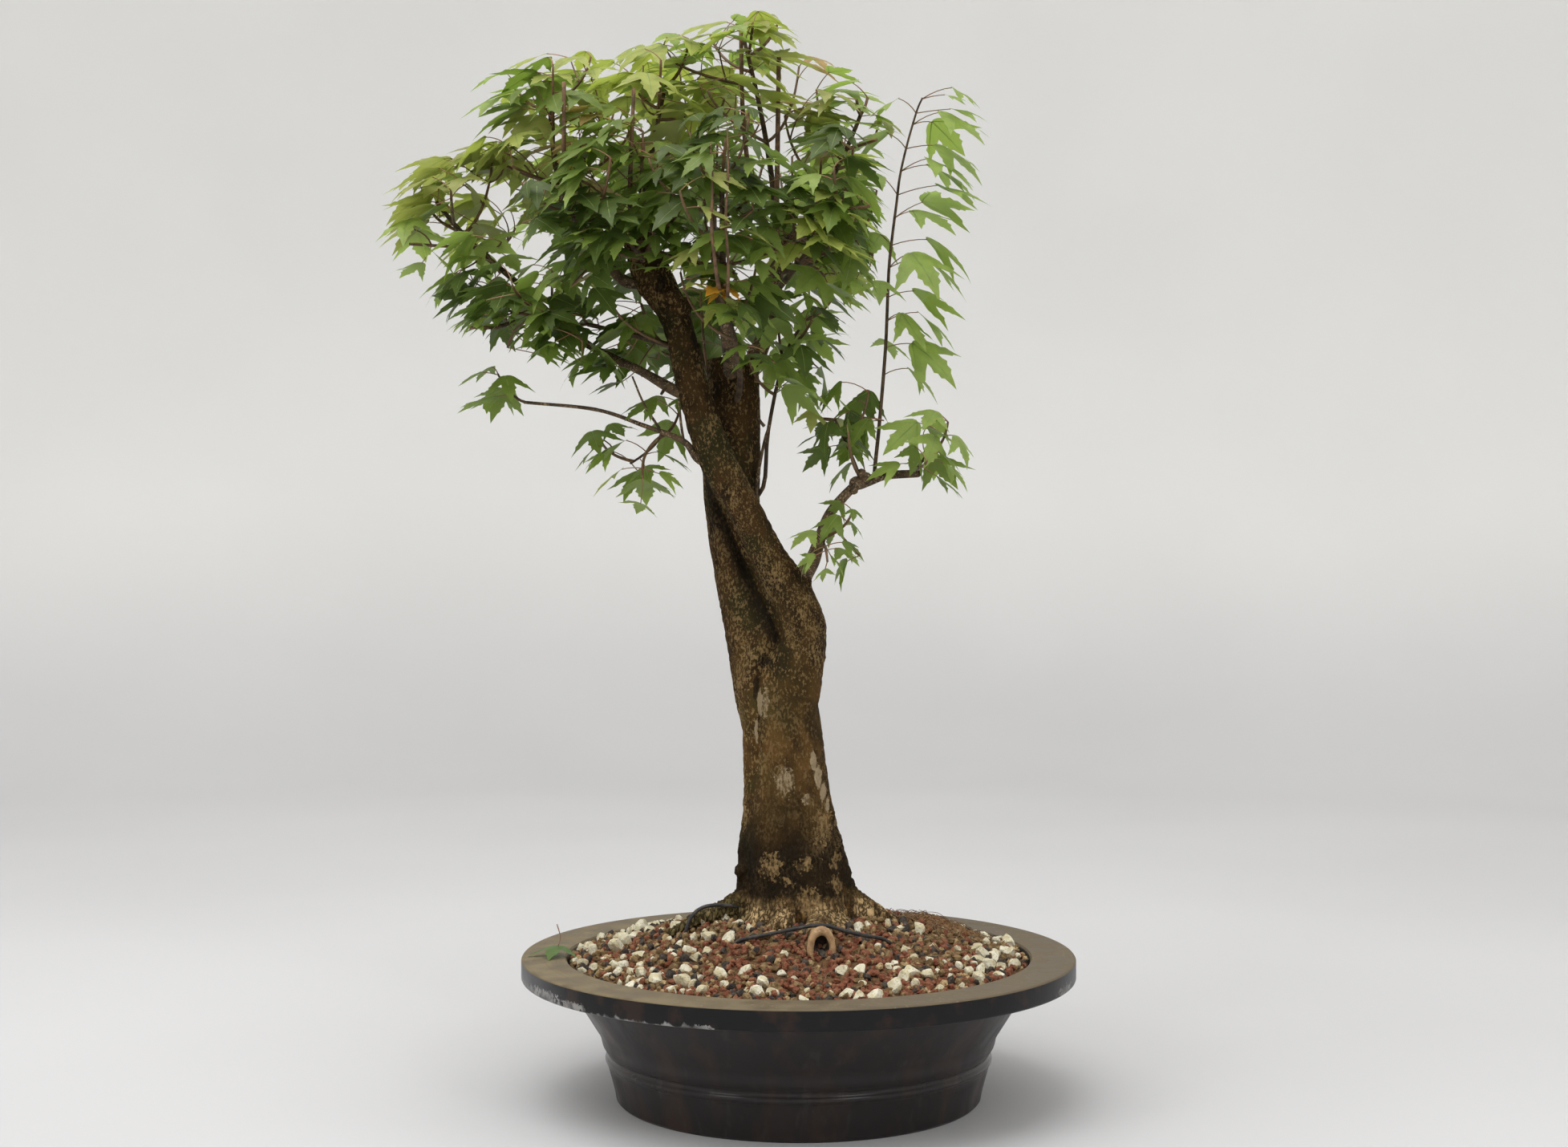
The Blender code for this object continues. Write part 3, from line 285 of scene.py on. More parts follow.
MASSES = (
    Mass("crown_top_foliage", (-0.043, -0.01, 0.89), (0.09, 0.095, 0.074), 24,
         (-0.0192, 0.02, 0.742), (0, 0, 1)),
    Mass("top_centre_foliage", (-0.12, -0.01, 0.852), (0.074, 0.09, 0.078), 23,
         (-0.1385, -0.0182, 0.742), (0.1, 0.1, 1), room=1.1),
    Mass("top_left_foliage", (-0.212, -0.01, 0.835), (0.095, 0.09, 0.08), 24,
         (-0.2038, -0.0122, 0.778), (-0.3, 0.0, 1), room=1.06),
    Mass("top_right_foliage", (0.042, -0.01, 0.833), (0.062, 0.08, 0.068), 23,
         (-0.019, 0.02, 0.74), (1, -0.2, 0.8)),
    Mass("left_tip_foliage", (-0.298, 0.0, 0.759), (0.077, 0.085, 0.074), 15,
         (-0.272, 0.0082, 0.7305), (-1, 0, 0.8), room=1.02),
    Mass("left_low_foliage", (-0.245, -0.02, 0.668), (0.085, 0.08, 0.058), 18,
         (-0.2111, 0.012, 0.6761), (-0.4, -1, 0.2), room=1.08),
    Mass("front_left_foliage", (-0.156, -0.1, 0.7466), (0.085, 0.07, 0.085), 26,
         (-0.13, -0.02, 0.718), (-0.2, -1, 0.3)),
    Mass("front_centre_foliage", (-0.063, -0.12, 0.754), (0.075, 0.07, 0.085), 30,
         (-0.063, -0.088, 0.699), (0, -1, 0.8)),
    Mass("front_right_foliage", (0.023, -0.08, 0.745), (0.072, 0.07, 0.085), 26,
         (-0.0225, 0.02, 0.7), (0.4, -1, 0.3)),
    Mass("mid_right_foliage", (0.048, 0.04, 0.74), (0.062, 0.06, 0.08), 18,
         (-0.02, 0.02, 0.718), (1, 0.1, 0.4)),
    Mass("back_left_foliage", (-0.1823, 0.11, 0.78), (0.09, 0.08, 0.085), 15,
         (-0.1742, 0.078, 0.779), (-0.3, 1, 0.3)),
    Mass("back_centre_foliage", (-0.0786, 0.13, 0.815), (0.08, 0.08, 0.09), 15,
         (-0.0775, 0.1085, 0.757), (0, 0.4, 1)),
    Mass("back_right_foliage", (0.0191, 0.12, 0.7736), (0.075, 0.075, 0.09), 19,
         (-0.0195, 0.02, 0.73), (0.3, 1, 0.5)),
    Mass("right_low_foliage", (0.0101, 0.0, 0.648), (0.06, 0.075, 0.068), 18,
         (-0.05, 0.018, 0.515), (1, 0, 0.6),
         stem=(0.0021, 0.0013),
         path=((-0.031, 0.016, 0.53), (-0.0265, 0.012, 0.579), (-0.013, 0.005, 0.641),
               (0.005, 0.0, 0.675))),
    Mass("left_under_foliage", (-0.164, -0.01, 0.665), (0.058, 0.075, 0.06), 16,
         (-0.0985, -0.023, 0.646), (-1, -0.2, 0.35)),
    Mass("front_low_foliage", (-0.0638, -0.09, 0.672), (0.072, 0.06, 0.06), 16,
         (-0.056, 0.01, 0.6), (0.3, -1, 0.5)),
    Mass("back_low_foliage", (-0.0928, 0.12, 0.6743), (0.08, 0.07, 0.06), 22,
         (-0.057, 0.026, 0.6), (-0.4, 1, 0.3)),
    Mass("right_shoot_foliage", (0.1082, 0.0, 0.745), (0.073, 0.06, 0.14), 27,
         (0.066, -0.002, 0.5368), (0.1, 0, 1), stalk=0.028, leaf_size=1.08, habit=Habit.WAND,
         lean=(0.26, -0.25, 0), hang=0.06, stem=(0.0018, 0.0008), room=1.12,
         path=((0.067, -0.001, 0.55), (0.0704, 0, 0.5823), (0.0743, 0, 0.628), (0.0766, 0, 0.6621),
               (0.0788, 0, 0.7174), (0.0816, 0, 0.7461), (0.0858, 0, 0.779), (0.0885, 0, 0.8007),
               (0.0946, 0, 0.8276), (0.1032, 0, 0.8575), (0.1082, 0, 0.8692))),
    Mass("shoot_foot_left_foliage", (0.038, -0.005, 0.573), (0.046, 0.05, 0.052), 10,
         (0.0545, -0.004, 0.5331), (-0.3, -0.6, 1), leaf_size=0.98, stem=(0.0018, 0.0011)),
    Mass("shoot_foot_right_foliage", (0.104, -0.01, 0.548), (0.052, 0.052, 0.05), 10,
         (0.099, 0.0018, 0.5412), (0.2, -1, 0.1), leaf_size=0.98, stem=(0.0018, 0.0011)),
    Mass("fork_sprout", (0.0207, -0.035, 0.48), (0.045, 0.04, 0.04), 6,
         (0.0188, -0.013, 0.4852), (0.2, -1, 0.0), stalk=0.014, leaf_size=0.7, stem=(0.0012, 0.0008)),
    Mass("left_spray", (-0.27, 0.0, 0.604), (0.052, 0.048, 0.045), 5,
         (-0.2375, -0.0042, 0.6032), (-1, 0, 0.1), stalk=0.014, leaf_size=0.8, habit=Habit.WAND,
         stem=(0.0013, 0.0009),
         path=((-0.244, -0.004, 0.606), (-0.254, -0.003, 0.615), (-0.262, -0.002, 0.628))),
    Mass("left_hanging_foliage", (-0.1369, 0.0, 0.56), (0.06, 0.055, 0.06), 6,
         (-0.118, -0.0232, 0.576), (-0.2, 0.9, -0.6), leaf_size=0.9, stem=(0.0014, 0.001)),
)


class Tint(Enum):
    """The plain colours that leaves are dealt: a name for the piece, and its base colour."""

    DEEP = ("deep", (0.078, 0.114, 0.026))
    MID = ("mid", (0.148, 0.204, 0.042))
    FRESH = ("fresh", (0.262, 0.34, 0.086))
    YELLOW = ("yellow", (0.35, 0.382, 0.098))
    OLIVE = ("olive", (0.29, 0.3, 0.092))
    BRONZE = ("bronze", (0.37, 0.255, 0.1))
    ORANGE = ("orange", (0.6, 0.265, 0.032))

    @property
    def label(self) -> str:
        """The tint's name."""
        return self.value[0]

    @property
    def colour(self) -> tuple:
        """The tint's base colour."""
        return self.value[1]


# The photo's outline of the main crown, carried on to the upright plane through the pot's axis: (x, most
# height) above, (height, furthest x) at the right, (x, least height) below
TOP_EDGE = 0.948
TOP_LINE = (
    (-0.368, 0.752), (-0.357, 0.8), (-0.322, 0.819), (-0.299, 0.816), (-0.29, 0.87), (-0.279, 0.89),
    (-0.239, 0.904), (-0.16, 0.908), (-0.137, 0.914), (-0.112, 0.929), (-0.071, 0.939), (-0.051, 0.948),
    (-0.021, 0.944), (0.003, 0.922), (0.021, 0.91), (0.056, 0.889), (0.096, 0.852),
)
RIGHT_LINE = (
    (0.56, 0.014), (0.587, 0.024), (0.654, 0.046), (0.703, 0.072), (0.741, 0.069), (0.787, 0.082),
    (0.835, 0.096), (0.885, 0.062), (0.913, 0.03), (0.95, 0.004),
)
LOW_LINE = (
    (-0.37, 0.735), (-0.354, 0.708), (-0.305, 0.668), (-0.25, 0.642), (-0.205, 0.614), (-0.15, 0.588),
    (-0.09, 0.57), (0.1, 0.56),
)

# Where the photo shows the front stem through the leaves: (x, height) along it, and half the width kept open
OPEN_VIEW = ((-0.062, 0.538), (-0.0897, 0.6114), (-0.1047, 0.6698), (-0.122, 0.7))
OPEN_VIEW_WIDTH = 0.0175
OPEN_VIEW_DEPTH = -0.022
OUTLYING = (
    "right_shoot_foliage", "shoot_foot_left_foliage", "shoot_foot_right_foliage", "fork_sprout",
    "left_spray", "left_hanging_foliage",
)
CAMERA_PLACE = (-0.0126, -1.8195, 0.4542)

# Shares of each tint in a mass: deep, mid, fresh, yellow, olive, bronze, orange. Yellow and fresh weigh most
# in the top and outer masses, deep in the low inner ones: partly the leaves' own colour, partly painted light
# on the crown's lit top and painted shade under it
TINT_SHARES = {
    "crown_top_foliage": (0, 0.4, 5, 10, 5.5, 1.1, 0),
    "top_centre_foliage": (0, 1, 6, 8, 6, 1.0, 0),
    "top_left_foliage": (0.2, 1.6, 6, 6, 6.5, 1.0, 0),
    "top_right_foliage": (0.3, 3, 8, 5, 1, 0.1, 0),
    "left_tip_foliage": (0.2, 1.6, 5, 5, 6.5, 1.0, 0),
    "left_low_foliage": (2, 5.5, 5, 1, 1.5, 0.3, 0),
    "front_left_foliage": (4, 7, 4, 0.4, 0.6, 0, 0),
    "front_centre_foliage": (5, 7, 4, 0.4, 0.3, 0, 0.12),
    "front_right_foliage": (3.5, 6, 5.5, 1.2, 0.3, 0, 0),
    "mid_right_foliage": (1.5, 4, 7, 3, 0.5, 0.1, 0),
    "right_low_foliage": (2, 5, 6, 0.5, 0.3, 0, 0),
    "left_under_foliage": (6, 4, 1, 0, 0.3, 0, 0),
    "front_low_foliage": (5, 5, 2, 0.3, 0.3, 0, 0),
    "back_low_foliage": (6, 4, 1, 0, 0.3, 0, 0),
    "right_shoot_foliage": (0, 2.5, 6, 3, 5, 0, 0),
}
PLAIN_SHARES = (2, 7, 5, 0.1, 0.4, 0, 0)

# How far leaves hang below level, in radians, by their height: (height, least, most)
HANGING = ((0.52, 0.25, 0.85), (0.7, 0.14, 0.66), (0.88, -0.04, 0.36))

# The groove on the trunk's front, along the front stem's left edge and then down: (x, height) along it
FLUTE = (
    (-0.0705, 0.515), (-0.063, 0.496), (-0.0455, 0.459), (-0.03, 0.426), (-0.019, 0.401),
    (-0.025, 0.388), (-0.035, 0.372), (-0.0368, 0.35), (-0.037, 0.325), (-0.0395, 0.29),
    (-0.041, 0.26),
)

# Where the front stem's left edge crosses the rear stem, along which its painted shadow lies: a point on it,
# and the way across it to the right
STEM_EDGE = (-0.0165, 0.0, 0.399)
STEM_EDGE_WAY = (0.909, 0.0, 0.4167)


def unit(vector: np.ndarray) -> np.ndarray:
    """The vector at length one."""
    return vector / max(float(np.linalg.norm(vector)), 1e-12)


def smooth_line(stops: tuple, steps: int) -> np.ndarray:
    """Finds rows along the smooth curve through the stops.

    Args:
        stops: Rows of equal length, such as x, y, z and radius.
        steps: How many rows to make for each stretch between two stops.

    Returns:
        The rows in order, the last stop included.
    """
    rows = np.array(stops, float)
    rows = np.vstack([2 * rows[0] - rows[1], rows, 2 * rows[-1] - rows[-2]])
    share = (np.arange(steps) / steps)[:, None]
    parts = []
    for before, start, end, after in zip(rows, rows[1:], rows[2:], rows[3:]):
        parts.append(0.5 * (
            2 * start + (end - before) * share
            + (2 * before - 5 * start + 4 * end - after) * share ** 2
            + (3 * start - before - 3 * end + after) * share ** 3
        ))
    parts.append(rows[-2:-1])
    return np.vstack(parts)


def carried_frames(places: np.ndarray) -> tuple[np.ndarray, np.ndarray, np.ndarray]:
    """Carries a cross-section along a line without twist.

    Args:
        places: The line's points.

    Returns:
        Three arrays of directions at each point: along, side and up.
    """
    ahead = np.vstack([places[1:], places[-1:]])
    behind = np.vstack([places[:1], places[:-1]])
    along = ahead - behind
    along /= np.linalg.norm(along, axis=1)[:, None]
    side = np.array(Vector(along[0]).orthogonal())
    sides = []
    for way in along:
        side = unit(side - way * side.dot(way))
        sides.append(side)
    sides = np.array(sides)
    return along, sides, np.cross(along, sides)


def skin_faces(rows: int, corners: int) -> list[tuple]:
    """Closes a skin over rows of points: quads that face out, and a cap at each end.

    Args:
        rows: How many rows.
        corners: Points in each row.

    Returns:
        The faces.
    """
    faces = []
    for row in range(rows - 1):
        low, high = row * corners, (row + 1) * corners
        for here in range(corners):
            after = (here + 1) % corners
            faces.append((low + here, low + after, high + after, high + here))
    faces.append(tuple(reversed(range(corners))))
    faces.append(tuple(range((rows - 1) * corners, rows * corners)))
    return faces


def tube(
    line: np.ndarray, corners: int, ending: tuple = (), swell: np.ndarray | None = None
) -> tuple[np.ndarray, list[tuple]]:
    """Skins a closed tube over a line.

    Args:
        line: Rows of x, y, z and radius.
        corners: Points in each ring.
        ending: More rings past the last row, as (distance along, radius), such as a hollow's wall.
        swell: Factors on the radius, one for each row and corner.

    Returns:
        Points and faces, capped at both ends.
    """
    places, radii = line[:, :3], line[:, 3]
    along, side, up = carried_frames(places)
    angles = np.arange(corners) * (math.tau / corners)
    turn = side[:, None] * np.cos(angles)[None, :, None] + up[:, None] * np.sin(angles)[None, :, None]
    spread = radii[:, None] * (np.ones((len(line), corners)) if swell is None else swell)
    rings = places[:, None] + turn * spread[..., None]
    extra = [places[-1] + along[-1] * distance + turn[-1] * radius for distance, radius in ending]
    rings = np.concatenate([rings, np.array(extra)]) if extra else rings
    return rings.reshape(-1, 3), skin_faces(len(rings), corners)


def value_noise(points: np.ndarray, seed: int) -> np.ndarray:
    """Smooth noise from 0 to 1 on a lattice of side one, the same on each run.

    Args:
        points: Where it is wanted.
        seed: Which noise.

    Returns:
        Its value at each point.
    """
    base = np.floor(points).astype(np.int64)
    part = points - base
    part = part * part * (3 - 2 * part)
    total = np.zeros(len(points))
    for corner in range(8):
        offset = np.array([(corner >> axis) & 1 for axis in range(3)])
        spot = (base + offset).astype(np.uint64)
        mixed = spot[:, 0] * np.uint64(374761393) + spot[:, 1] * np.uint64(668265263)
        mixed += spot[:, 2] * np.uint64(2147483629) + np.uint64(seed * 974711 + 11)
        mixed = (mixed ^ (mixed >> np.uint64(13))) * np.uint64(1274126177)
        mixed = (mixed ^ (mixed >> np.uint64(16))) & np.uint64(0xFFFFFFFF)
        weight = np.prod(np.where(offset == 1, part, 1 - part), axis=1)
        total += weight * mixed / 4294967295.0
    return total


def layered_noise(points: np.ndarray, layers: int, seed: int) -> np.ndarray:
    """Value noise in layers, each twice as fine and half as strong, from 0 to 1.

    Args:
        points: Where it is wanted.
        layers: How many layers.
        seed: The first layer's noise.

    Returns:
        Its value at each point.
    """
    total, weight, strength = np.zeros(len(points)), 0.0, 1.0
    for layer in range(layers):
        total += value_noise(points * 2 ** layer, seed + layer) * strength
        weight += strength
        strength *= 0.5
    return total / weight


def ball(place: tuple, radius: float, subdivisions: int) -> tuple[np.ndarray, list[tuple]]:
    """Points and faces of a round ball of even faces.

    Args:
        place: Its middle.
        radius: Its radius.
        subdivisions: How finely it is divided.

    Returns:
        Points and faces.
    """
    bm = bmesh.new()
    bmesh.ops.create_icosphere(bm, subdivisions=subdivisions, radius=radius)
    points = np.array([tuple(vert.co) for vert in bm.verts]) + place
    faces = [tuple(vert.index for vert in face.verts) for face in bm.faces]
    bm.free()
    return points, faces


def soil_height(radius: float) -> float:
    """The height of the soil's top at this distance from the pot's axis."""
    radii, heights = zip(*SOIL_TOP)
    return float(np.interp(radius, radii, heights))


def away_from(line: tuple, flat: np.ndarray) -> np.ndarray:
    """How far flat points lie from a line of straight stretches.

    Args:
        line: The line's stops.
        flat: The points.

    Returns:
        Their distances.
    """
    nearest = np.full(len(flat), np.inf)
    for start, end in zip(line, line[1:]):
        start, way = np.array(start), np.array(end) - np.array(start)
        share = np.clip((flat - start) @ way / (way @ way), 0, 1)
        nearest = np.minimum(nearest, np.linalg.norm(flat - start - share[:, None] * way, axis=1))
    return nearest


def linked(name: str, data: bpy.types.ID) -> bpy.types.Object:
    """An object of the data, linked to the scene.

    Args:
        name: The object's name.
        data: Its mesh, light or camera.

    Returns:
        The object.
    """
    made = bpy.data.objects.new(name, data)
    bpy.context.scene.collection.objects.link(made)
    return made


class Heap:
    """Many small shapes gathered as arrays and made one mesh."""

    def __init__(self) -> None:
        """Starts an empty heap."""
        self.points: list[np.ndarray] = []
        self.faces: list[tuple] = []
        self.count = 0

    def add(self, points: np.ndarray, faces: list[tuple]) -> None:
        """Lays one more shape on the heap.

        Args:
            points: The shape's points.
            faces: Its faces, counted from its first point.
        """
        start = self.count
        self.points.append(np.asarray(points, float))
        self.faces += [tuple(start + index for index in face) for face in faces]
        self.count += len(points)

    def make(self, name: str, smooth: bool = True) -> bpy.types.Object:
        """Makes the heap one object.

        Args:
            name: The object's name.
            smooth: Whether its faces are shaded smooth.

        Returns:
            The object, linked to the scene.
        """
        mesh = bpy.data.meshes.new(name)
        mesh.from_pydata(np.concatenate(self.points).tolist(), [], self.faces)
        mesh.update()
        if smooth:
            mesh.shade_smooth()
        return linked(name, mesh)


def take_up(piece: bpy.types.Object) -> None:
    """Deselects all else and makes the piece the active one.

    Args:
        piece: The piece.
    """
    if bpy.context.object and bpy.context.object.mode != "OBJECT":
        bpy.ops.object.mode_set(mode="OBJECT")
    bpy.ops.object.select_all(action="DESELECT")
    piece.select_set(True)
    bpy.context.view_layer.objects.active = piece


def apply_modifier(piece: bpy.types.Object, kind: str, **settings: object) -> None:
    """Gives the piece a modifier with these settings and applies it.

    Args:
        piece: The piece.
        kind: The modifier's type.
        **settings: What is set on it.
    """
    take_up(piece)
    step = piece.modifiers.new(kind.title(), kind)
    for name, value in settings.items():
        setattr(step, name, value)
    bpy.ops.object.modifier_apply(modifier=step.name)


def spun(name: str, section: list[tuple], steps: int) -> bpy.types.Object:
    """Spins a section of points (radius, height) round the upright axis.

    Args:
        name: The object's name.
        section: The section's points.
        steps: How many steps the turn has.

    Returns:
        The object.
    """
    mesh = bpy.data.meshes.new(name)
    edges = [(here, here + 1) for here in range(len(section) - 1)]
    mesh.from_pydata([(radius, 0, height) for radius, height in section], edges, [])
    made = linked(name, mesh)
    take_up(made)
    bpy.ops.object.mode_set(mode="EDIT")
    bpy.ops.mesh.select_all(action="SELECT")
    bpy.ops.mesh.spin(steps=steps, angle=math.tau, center=(0, 0, 0), axis=(0, 0, 1), use_auto_merge=True)
    bpy.ops.mesh.select_all(action="SELECT")
    bpy.ops.mesh.remove_doubles(threshold=1e-5)
    bpy.ops.mesh.normals_make_consistent(inside=False)
    bpy.ops.object.mode_set(mode="OBJECT")
    return made


def hand_over(
    piece: bpy.types.Object, finishes: list[bpy.types.Material], nodes: tuple = ()
) -> bpy.types.Object:
    """Gives a piece its finishes, its body and the nodes that it stands for.

    Args:
        piece: The piece.
        finishes: Its materials.
        nodes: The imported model's nodes, if any.

    Returns:
        The piece.
    """
    piece.data.materials.clear()
    for finish in finishes:
        piece.data.materials.append(finish)
    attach(piece, "root")
    if nodes:
        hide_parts(*nodes)
    LOG.info("%s: %d faces", piece.name, len(piece.data.polygons))
    return piece


def mesh_points(mesh: bpy.types.Mesh) -> np.ndarray:
    """The mesh's points as an array.

    Args:
        mesh: The mesh.

    Returns:
        One row for each point.
    """
    flat = np.empty(len(mesh.vertices) * 3)
    mesh.vertices.foreach_get("co", flat)
    return flat.reshape(-1, 3)


class Signal:
    """A value, vector or colour in a node tree, with + - and * by math nodes."""

    def __init__(self, wiring: "Wiring", socket: bpy.types.NodeSocket) -> None:
        """Takes up the socket that gives it."""
        self.wiring = wiring
        self.socket = socket

    def __add__(self, other: "Signal | float") -> "Signal":
        """The sum."""
        return self.wiring.maths("ADD", self, other)

    def __sub__(self, other: "Signal | float") -> "Signal":
        """The difference."""
        return self.wiring.maths("SUBTRACT", self, other)

    def __rsub__(self, other: float) -> "Signal":
        """The difference from a number."""
        return self.wiring.maths("SUBTRACT", other, self)

    def __mul__(self, other: "Signal | float") -> "Signal":
        """The product."""
        return self.wiring.maths("MULTIPLY", self, other)


class Wiring:
    """Places and joins the nodes of a material or of a node group."""

    def __init__(self, tree: bpy.types.NodeTree) -> None:
        """Takes up the tree."""
        self.tree = tree

    def feed(self, socket: bpy.types.NodeSocket, source: object) -> None:
        """Joins a signal to a socket, or sets the socket's value.

        Args:
            socket: The socket.
            source: A signal, or a number, a vector or a colour.
        """
        if isinstance(source, Signal):
            self.tree.links.new(source.socket, socket)
        elif isinstance(source, tuple) and len(source) == 3 and socket.type == "RGBA":
            socket.default_value = (*source, 1)
        else:
            socket.default_value = source

    def node(self, kind: str, sources: dict, output: int | str = 0, **settings: object) -> Signal:
        """Places a node.

        Args:
            kind: The node's type, without its prefix.
            sources: What feeds its inputs, by place or name.
            output: Which of its outputs is wanted.
            **settings: What is set on the node itself.

        Returns:
            The output.
        """
        made = self.tree.nodes.new("ShaderNode" + kind)
        for name, value in settings.items():
            setattr(made, name, value)
        for key, source in sources.items():
            self.feed(made.inputs[key], source)
        return Signal(self, made.outputs[output])

    def maths(self, operation: str, *sources: object) -> Signal:
        """A math node's result."""
        return self.node("Math", dict(enumerate(sources)), operation=operation)

    def vectors(self, operation: str, *sources: object) -> Signal:
        """A vector math node's result."""
        output = "Value" if operation in ("LENGTH", "DOT_PRODUCT") else "Vector"
        return self.node("VectorMath", dict(enumerate(sources)), output, operation=operation)

    def noise(
        self, vector: Signal, scale: object, detail: float = 2.0, rough: float = 0.5, output: int | str = 0
    ) -> Signal:
        """A noise field."""
        sources = {"Vector": vector, "Scale": scale, "Detail": detail, "Roughness": rough}
        return self.node("TexNoise", sources, output)

    def stirred(self, vector: Signal, scale: float, reach: object) -> Signal:
        """The vector moved to and fro by noise, as far as the reach."""
        drift = self.vectors("SUBTRACT", self.noise(vector, scale, 3.0, 0.5, "Color"), (0.5, 0.5, 0.5))
        return self.vectors("MULTIPLY_ADD", drift, reach, vector)

    def band(
        self, value: Signal, low: object, high: object, least: float = 0.0, most: float = 1.0
    ) -> Signal:
        """The value carried smoothly from the low to the high limit on to least to most, and clamped."""
        sources = dict(enumerate((value, low, high, least, most)))
        return self.node("MapRange", sources, interpolation_type="SMOOTHSTEP")

    def mix(self, share: object, first: object, second: object, blend: str = "MIX") -> Signal:
        """Two colours mixed by the share."""
        return self.node("Mix", {0: share, 6: first, 7: second}, 2, data_type="RGBA", blend_type=blend)


class SharedEffects:
    """The node groups that several finishes use."""

    def __init__(self) -> None:
        """Builds each group once."""
        self.patches = self.build_patches()
        self.flecks = self.build_flecks()
        self.spot = self.build_spot()

    def start(self, name: str, inputs: dict) -> tuple[Wiring, list[Signal]]:
        """Starts a group that gives one mask.

        Args:
            name: The group's name.
            inputs: The standing value of each input, by name.

        Returns:
            The group's wiring and its inputs in order.
        """
        tree = bpy.data.node_groups.new(name, "ShaderNodeTree")
        for label, value in inputs.items():
            kind = "NodeSocketFloat" if isinstance(value, float) else "NodeSocketVector"
            tree.interface.new_socket(name=label, in_out="INPUT", socket_type=kind).default_value = value
        tree.interface.new_socket(name="Mask", in_out="OUTPUT", socket_type="NodeSocketFloat")
        wiring = Wiring(tree)
        entry = tree.nodes.new("NodeGroupInput")
        return wiring, [Signal(wiring, entry.outputs[label]) for label in inputs]

    def close(self, mask: Signal) -> bpy.types.NodeTree:
        """Joins the mask to its group's output."""
        mask.wiring.feed(mask.wiring.tree.nodes.new("NodeGroupOutput").inputs[0], mask)
        return mask.wiring.tree

    def build_patches(self) -> bpy.types.NodeTree:
        """Soft patches: noise of a given size, cut softly at a given level.

        Returns:
            The group.
        """
        inputs = {"Vector": (0, 0, 0), "Scale": 40.0, "Low": 0.4, "High": 0.6}
        wiring, (vector, scale, low, high) = self.start("Soft patches", inputs)
        return self.close(wiring.band(wiring.noise(vector, scale, 4.0, 0.55), low, high))

    def build_flecks(self) -> bpy.types.NodeTree:
        """Fine ragged flecks, gathered where a coarser field is strong.

        Returns:
            The group.
        """
        inputs = {"Vector": (0, 0, 0), "Scale": 400.0, "Amount": 0.5}
        wiring, (vector, scale, amount) = self.start("Ragged flecks", inputs)
        fine = wiring.noise(vector, scale, 3.0, 0.65)
        coarse = wiring.noise(vector, scale * 0.11)
        level = 0.66 - amount * 0.22
        return self.close(wiring.band(fine * 0.72 + coarse * 0.28, level, level + 0.07))

    def build_spot(self) -> bpy.types.NodeTree:
        """One spot round a middle, with its own reach along each axis and a wandering, ragged outline.

        Returns:
            The group.
        """
        inputs = {
            "Vector": (0, 0, 0), "Middle": (0, 0, 0), "Reach": (0.01, 0.01, 0.01), "Raggedness": 0.5,
            "Wander": 0.006,
        }
        wiring, (vector, middle, reach, raggedness, wander) = self.start("Ragged spot", inputs)
        shifted = wiring.vectors("SUBTRACT", wiring.stirred(vector, 120.0, wander), middle)
        length = wiring.vectors("LENGTH", wiring.vectors("DIVIDE", shifted, reach))
        push = (wiring.noise(vector, 320.0, 3.0, 0.6) - 0.5) * raggedness
        return self.close(wiring.band(length + push, 1.05, 0.85))


class Coat(Wiring):
    """A material's wiring, with its Principled shader and the surface's place."""

    def __init__(self, effects: SharedEffects, name: str, roughness: float, specular: float = 0.5) -> None:
        """Starts the material.

        Args:
            effects: The shared node groups.
            name: The material's name.
            roughness: Its even roughness.
            specular: How strongly it shines.
        """
        self.effects = effects
        self.material = bpy.data.materials.new(name)
        self.material.use_nodes = True
        super().__init__(self.material.node_tree)
        self.shader = self.tree.nodes["Principled BSDF"].inputs
        self.shader["Roughness"].default_value = roughness
        self.shader["Specular IOR Level"].default_value = specular
        self.place = self.node("TexCoord", {}, "Object")
        self.across, self.depth, self.height = (
            self.node("SeparateXYZ", {0: self.place}, axis) for axis in range(3)
        )

    def squeezed(self, share: float) -> Signal:
        """The surface's place, its height times the share."""
        return self.vectors("MULTIPLY", self.place, (1.0, 1.0, share))

    def patches(self, vector: Signal, scale: float, low: float, high: float) -> Signal:
        """Soft patches."""
        return self.node("Group", {0: vector, 1: scale, 2: low, 3: high}, node_tree=self.effects.patches)

    def flecks(self, vector: Signal, scale: float, amount: float) -> Signal:
        """Fine ragged flecks."""
        return self.node("Group", {0: vector, 1: scale, 2: amount}, node_tree=self.effects.flecks)

    def spot(self, middle: tuple, reach: tuple, raggedness: float, wander: float = 0.006) -> Signal:
        """A ragged spot."""
        sources = dict(enumerate((self.place, middle, reach, raggedness, wander)))
        return self.node("Group", sources, node_tree=self.effects.spot)

    def dress(self, colour: Signal, relief: Signal, strength: float, distance: float) -> bpy.types.Material:
        """Gives the shader its colour and its relief.

        Args:
            colour: The base colour.
            relief: The height field of the relief.
            strength: The relief's strength.
            distance: The relief's height in metres.

        Returns:
            The material.
        """
        bump = self.node("Bump", {"Height": relief, "Strength": strength, "Distance": distance})
        self.feed(self.shader["Base Color"], colour)
        self.feed(self.shader["Normal"], bump)
        return self.material


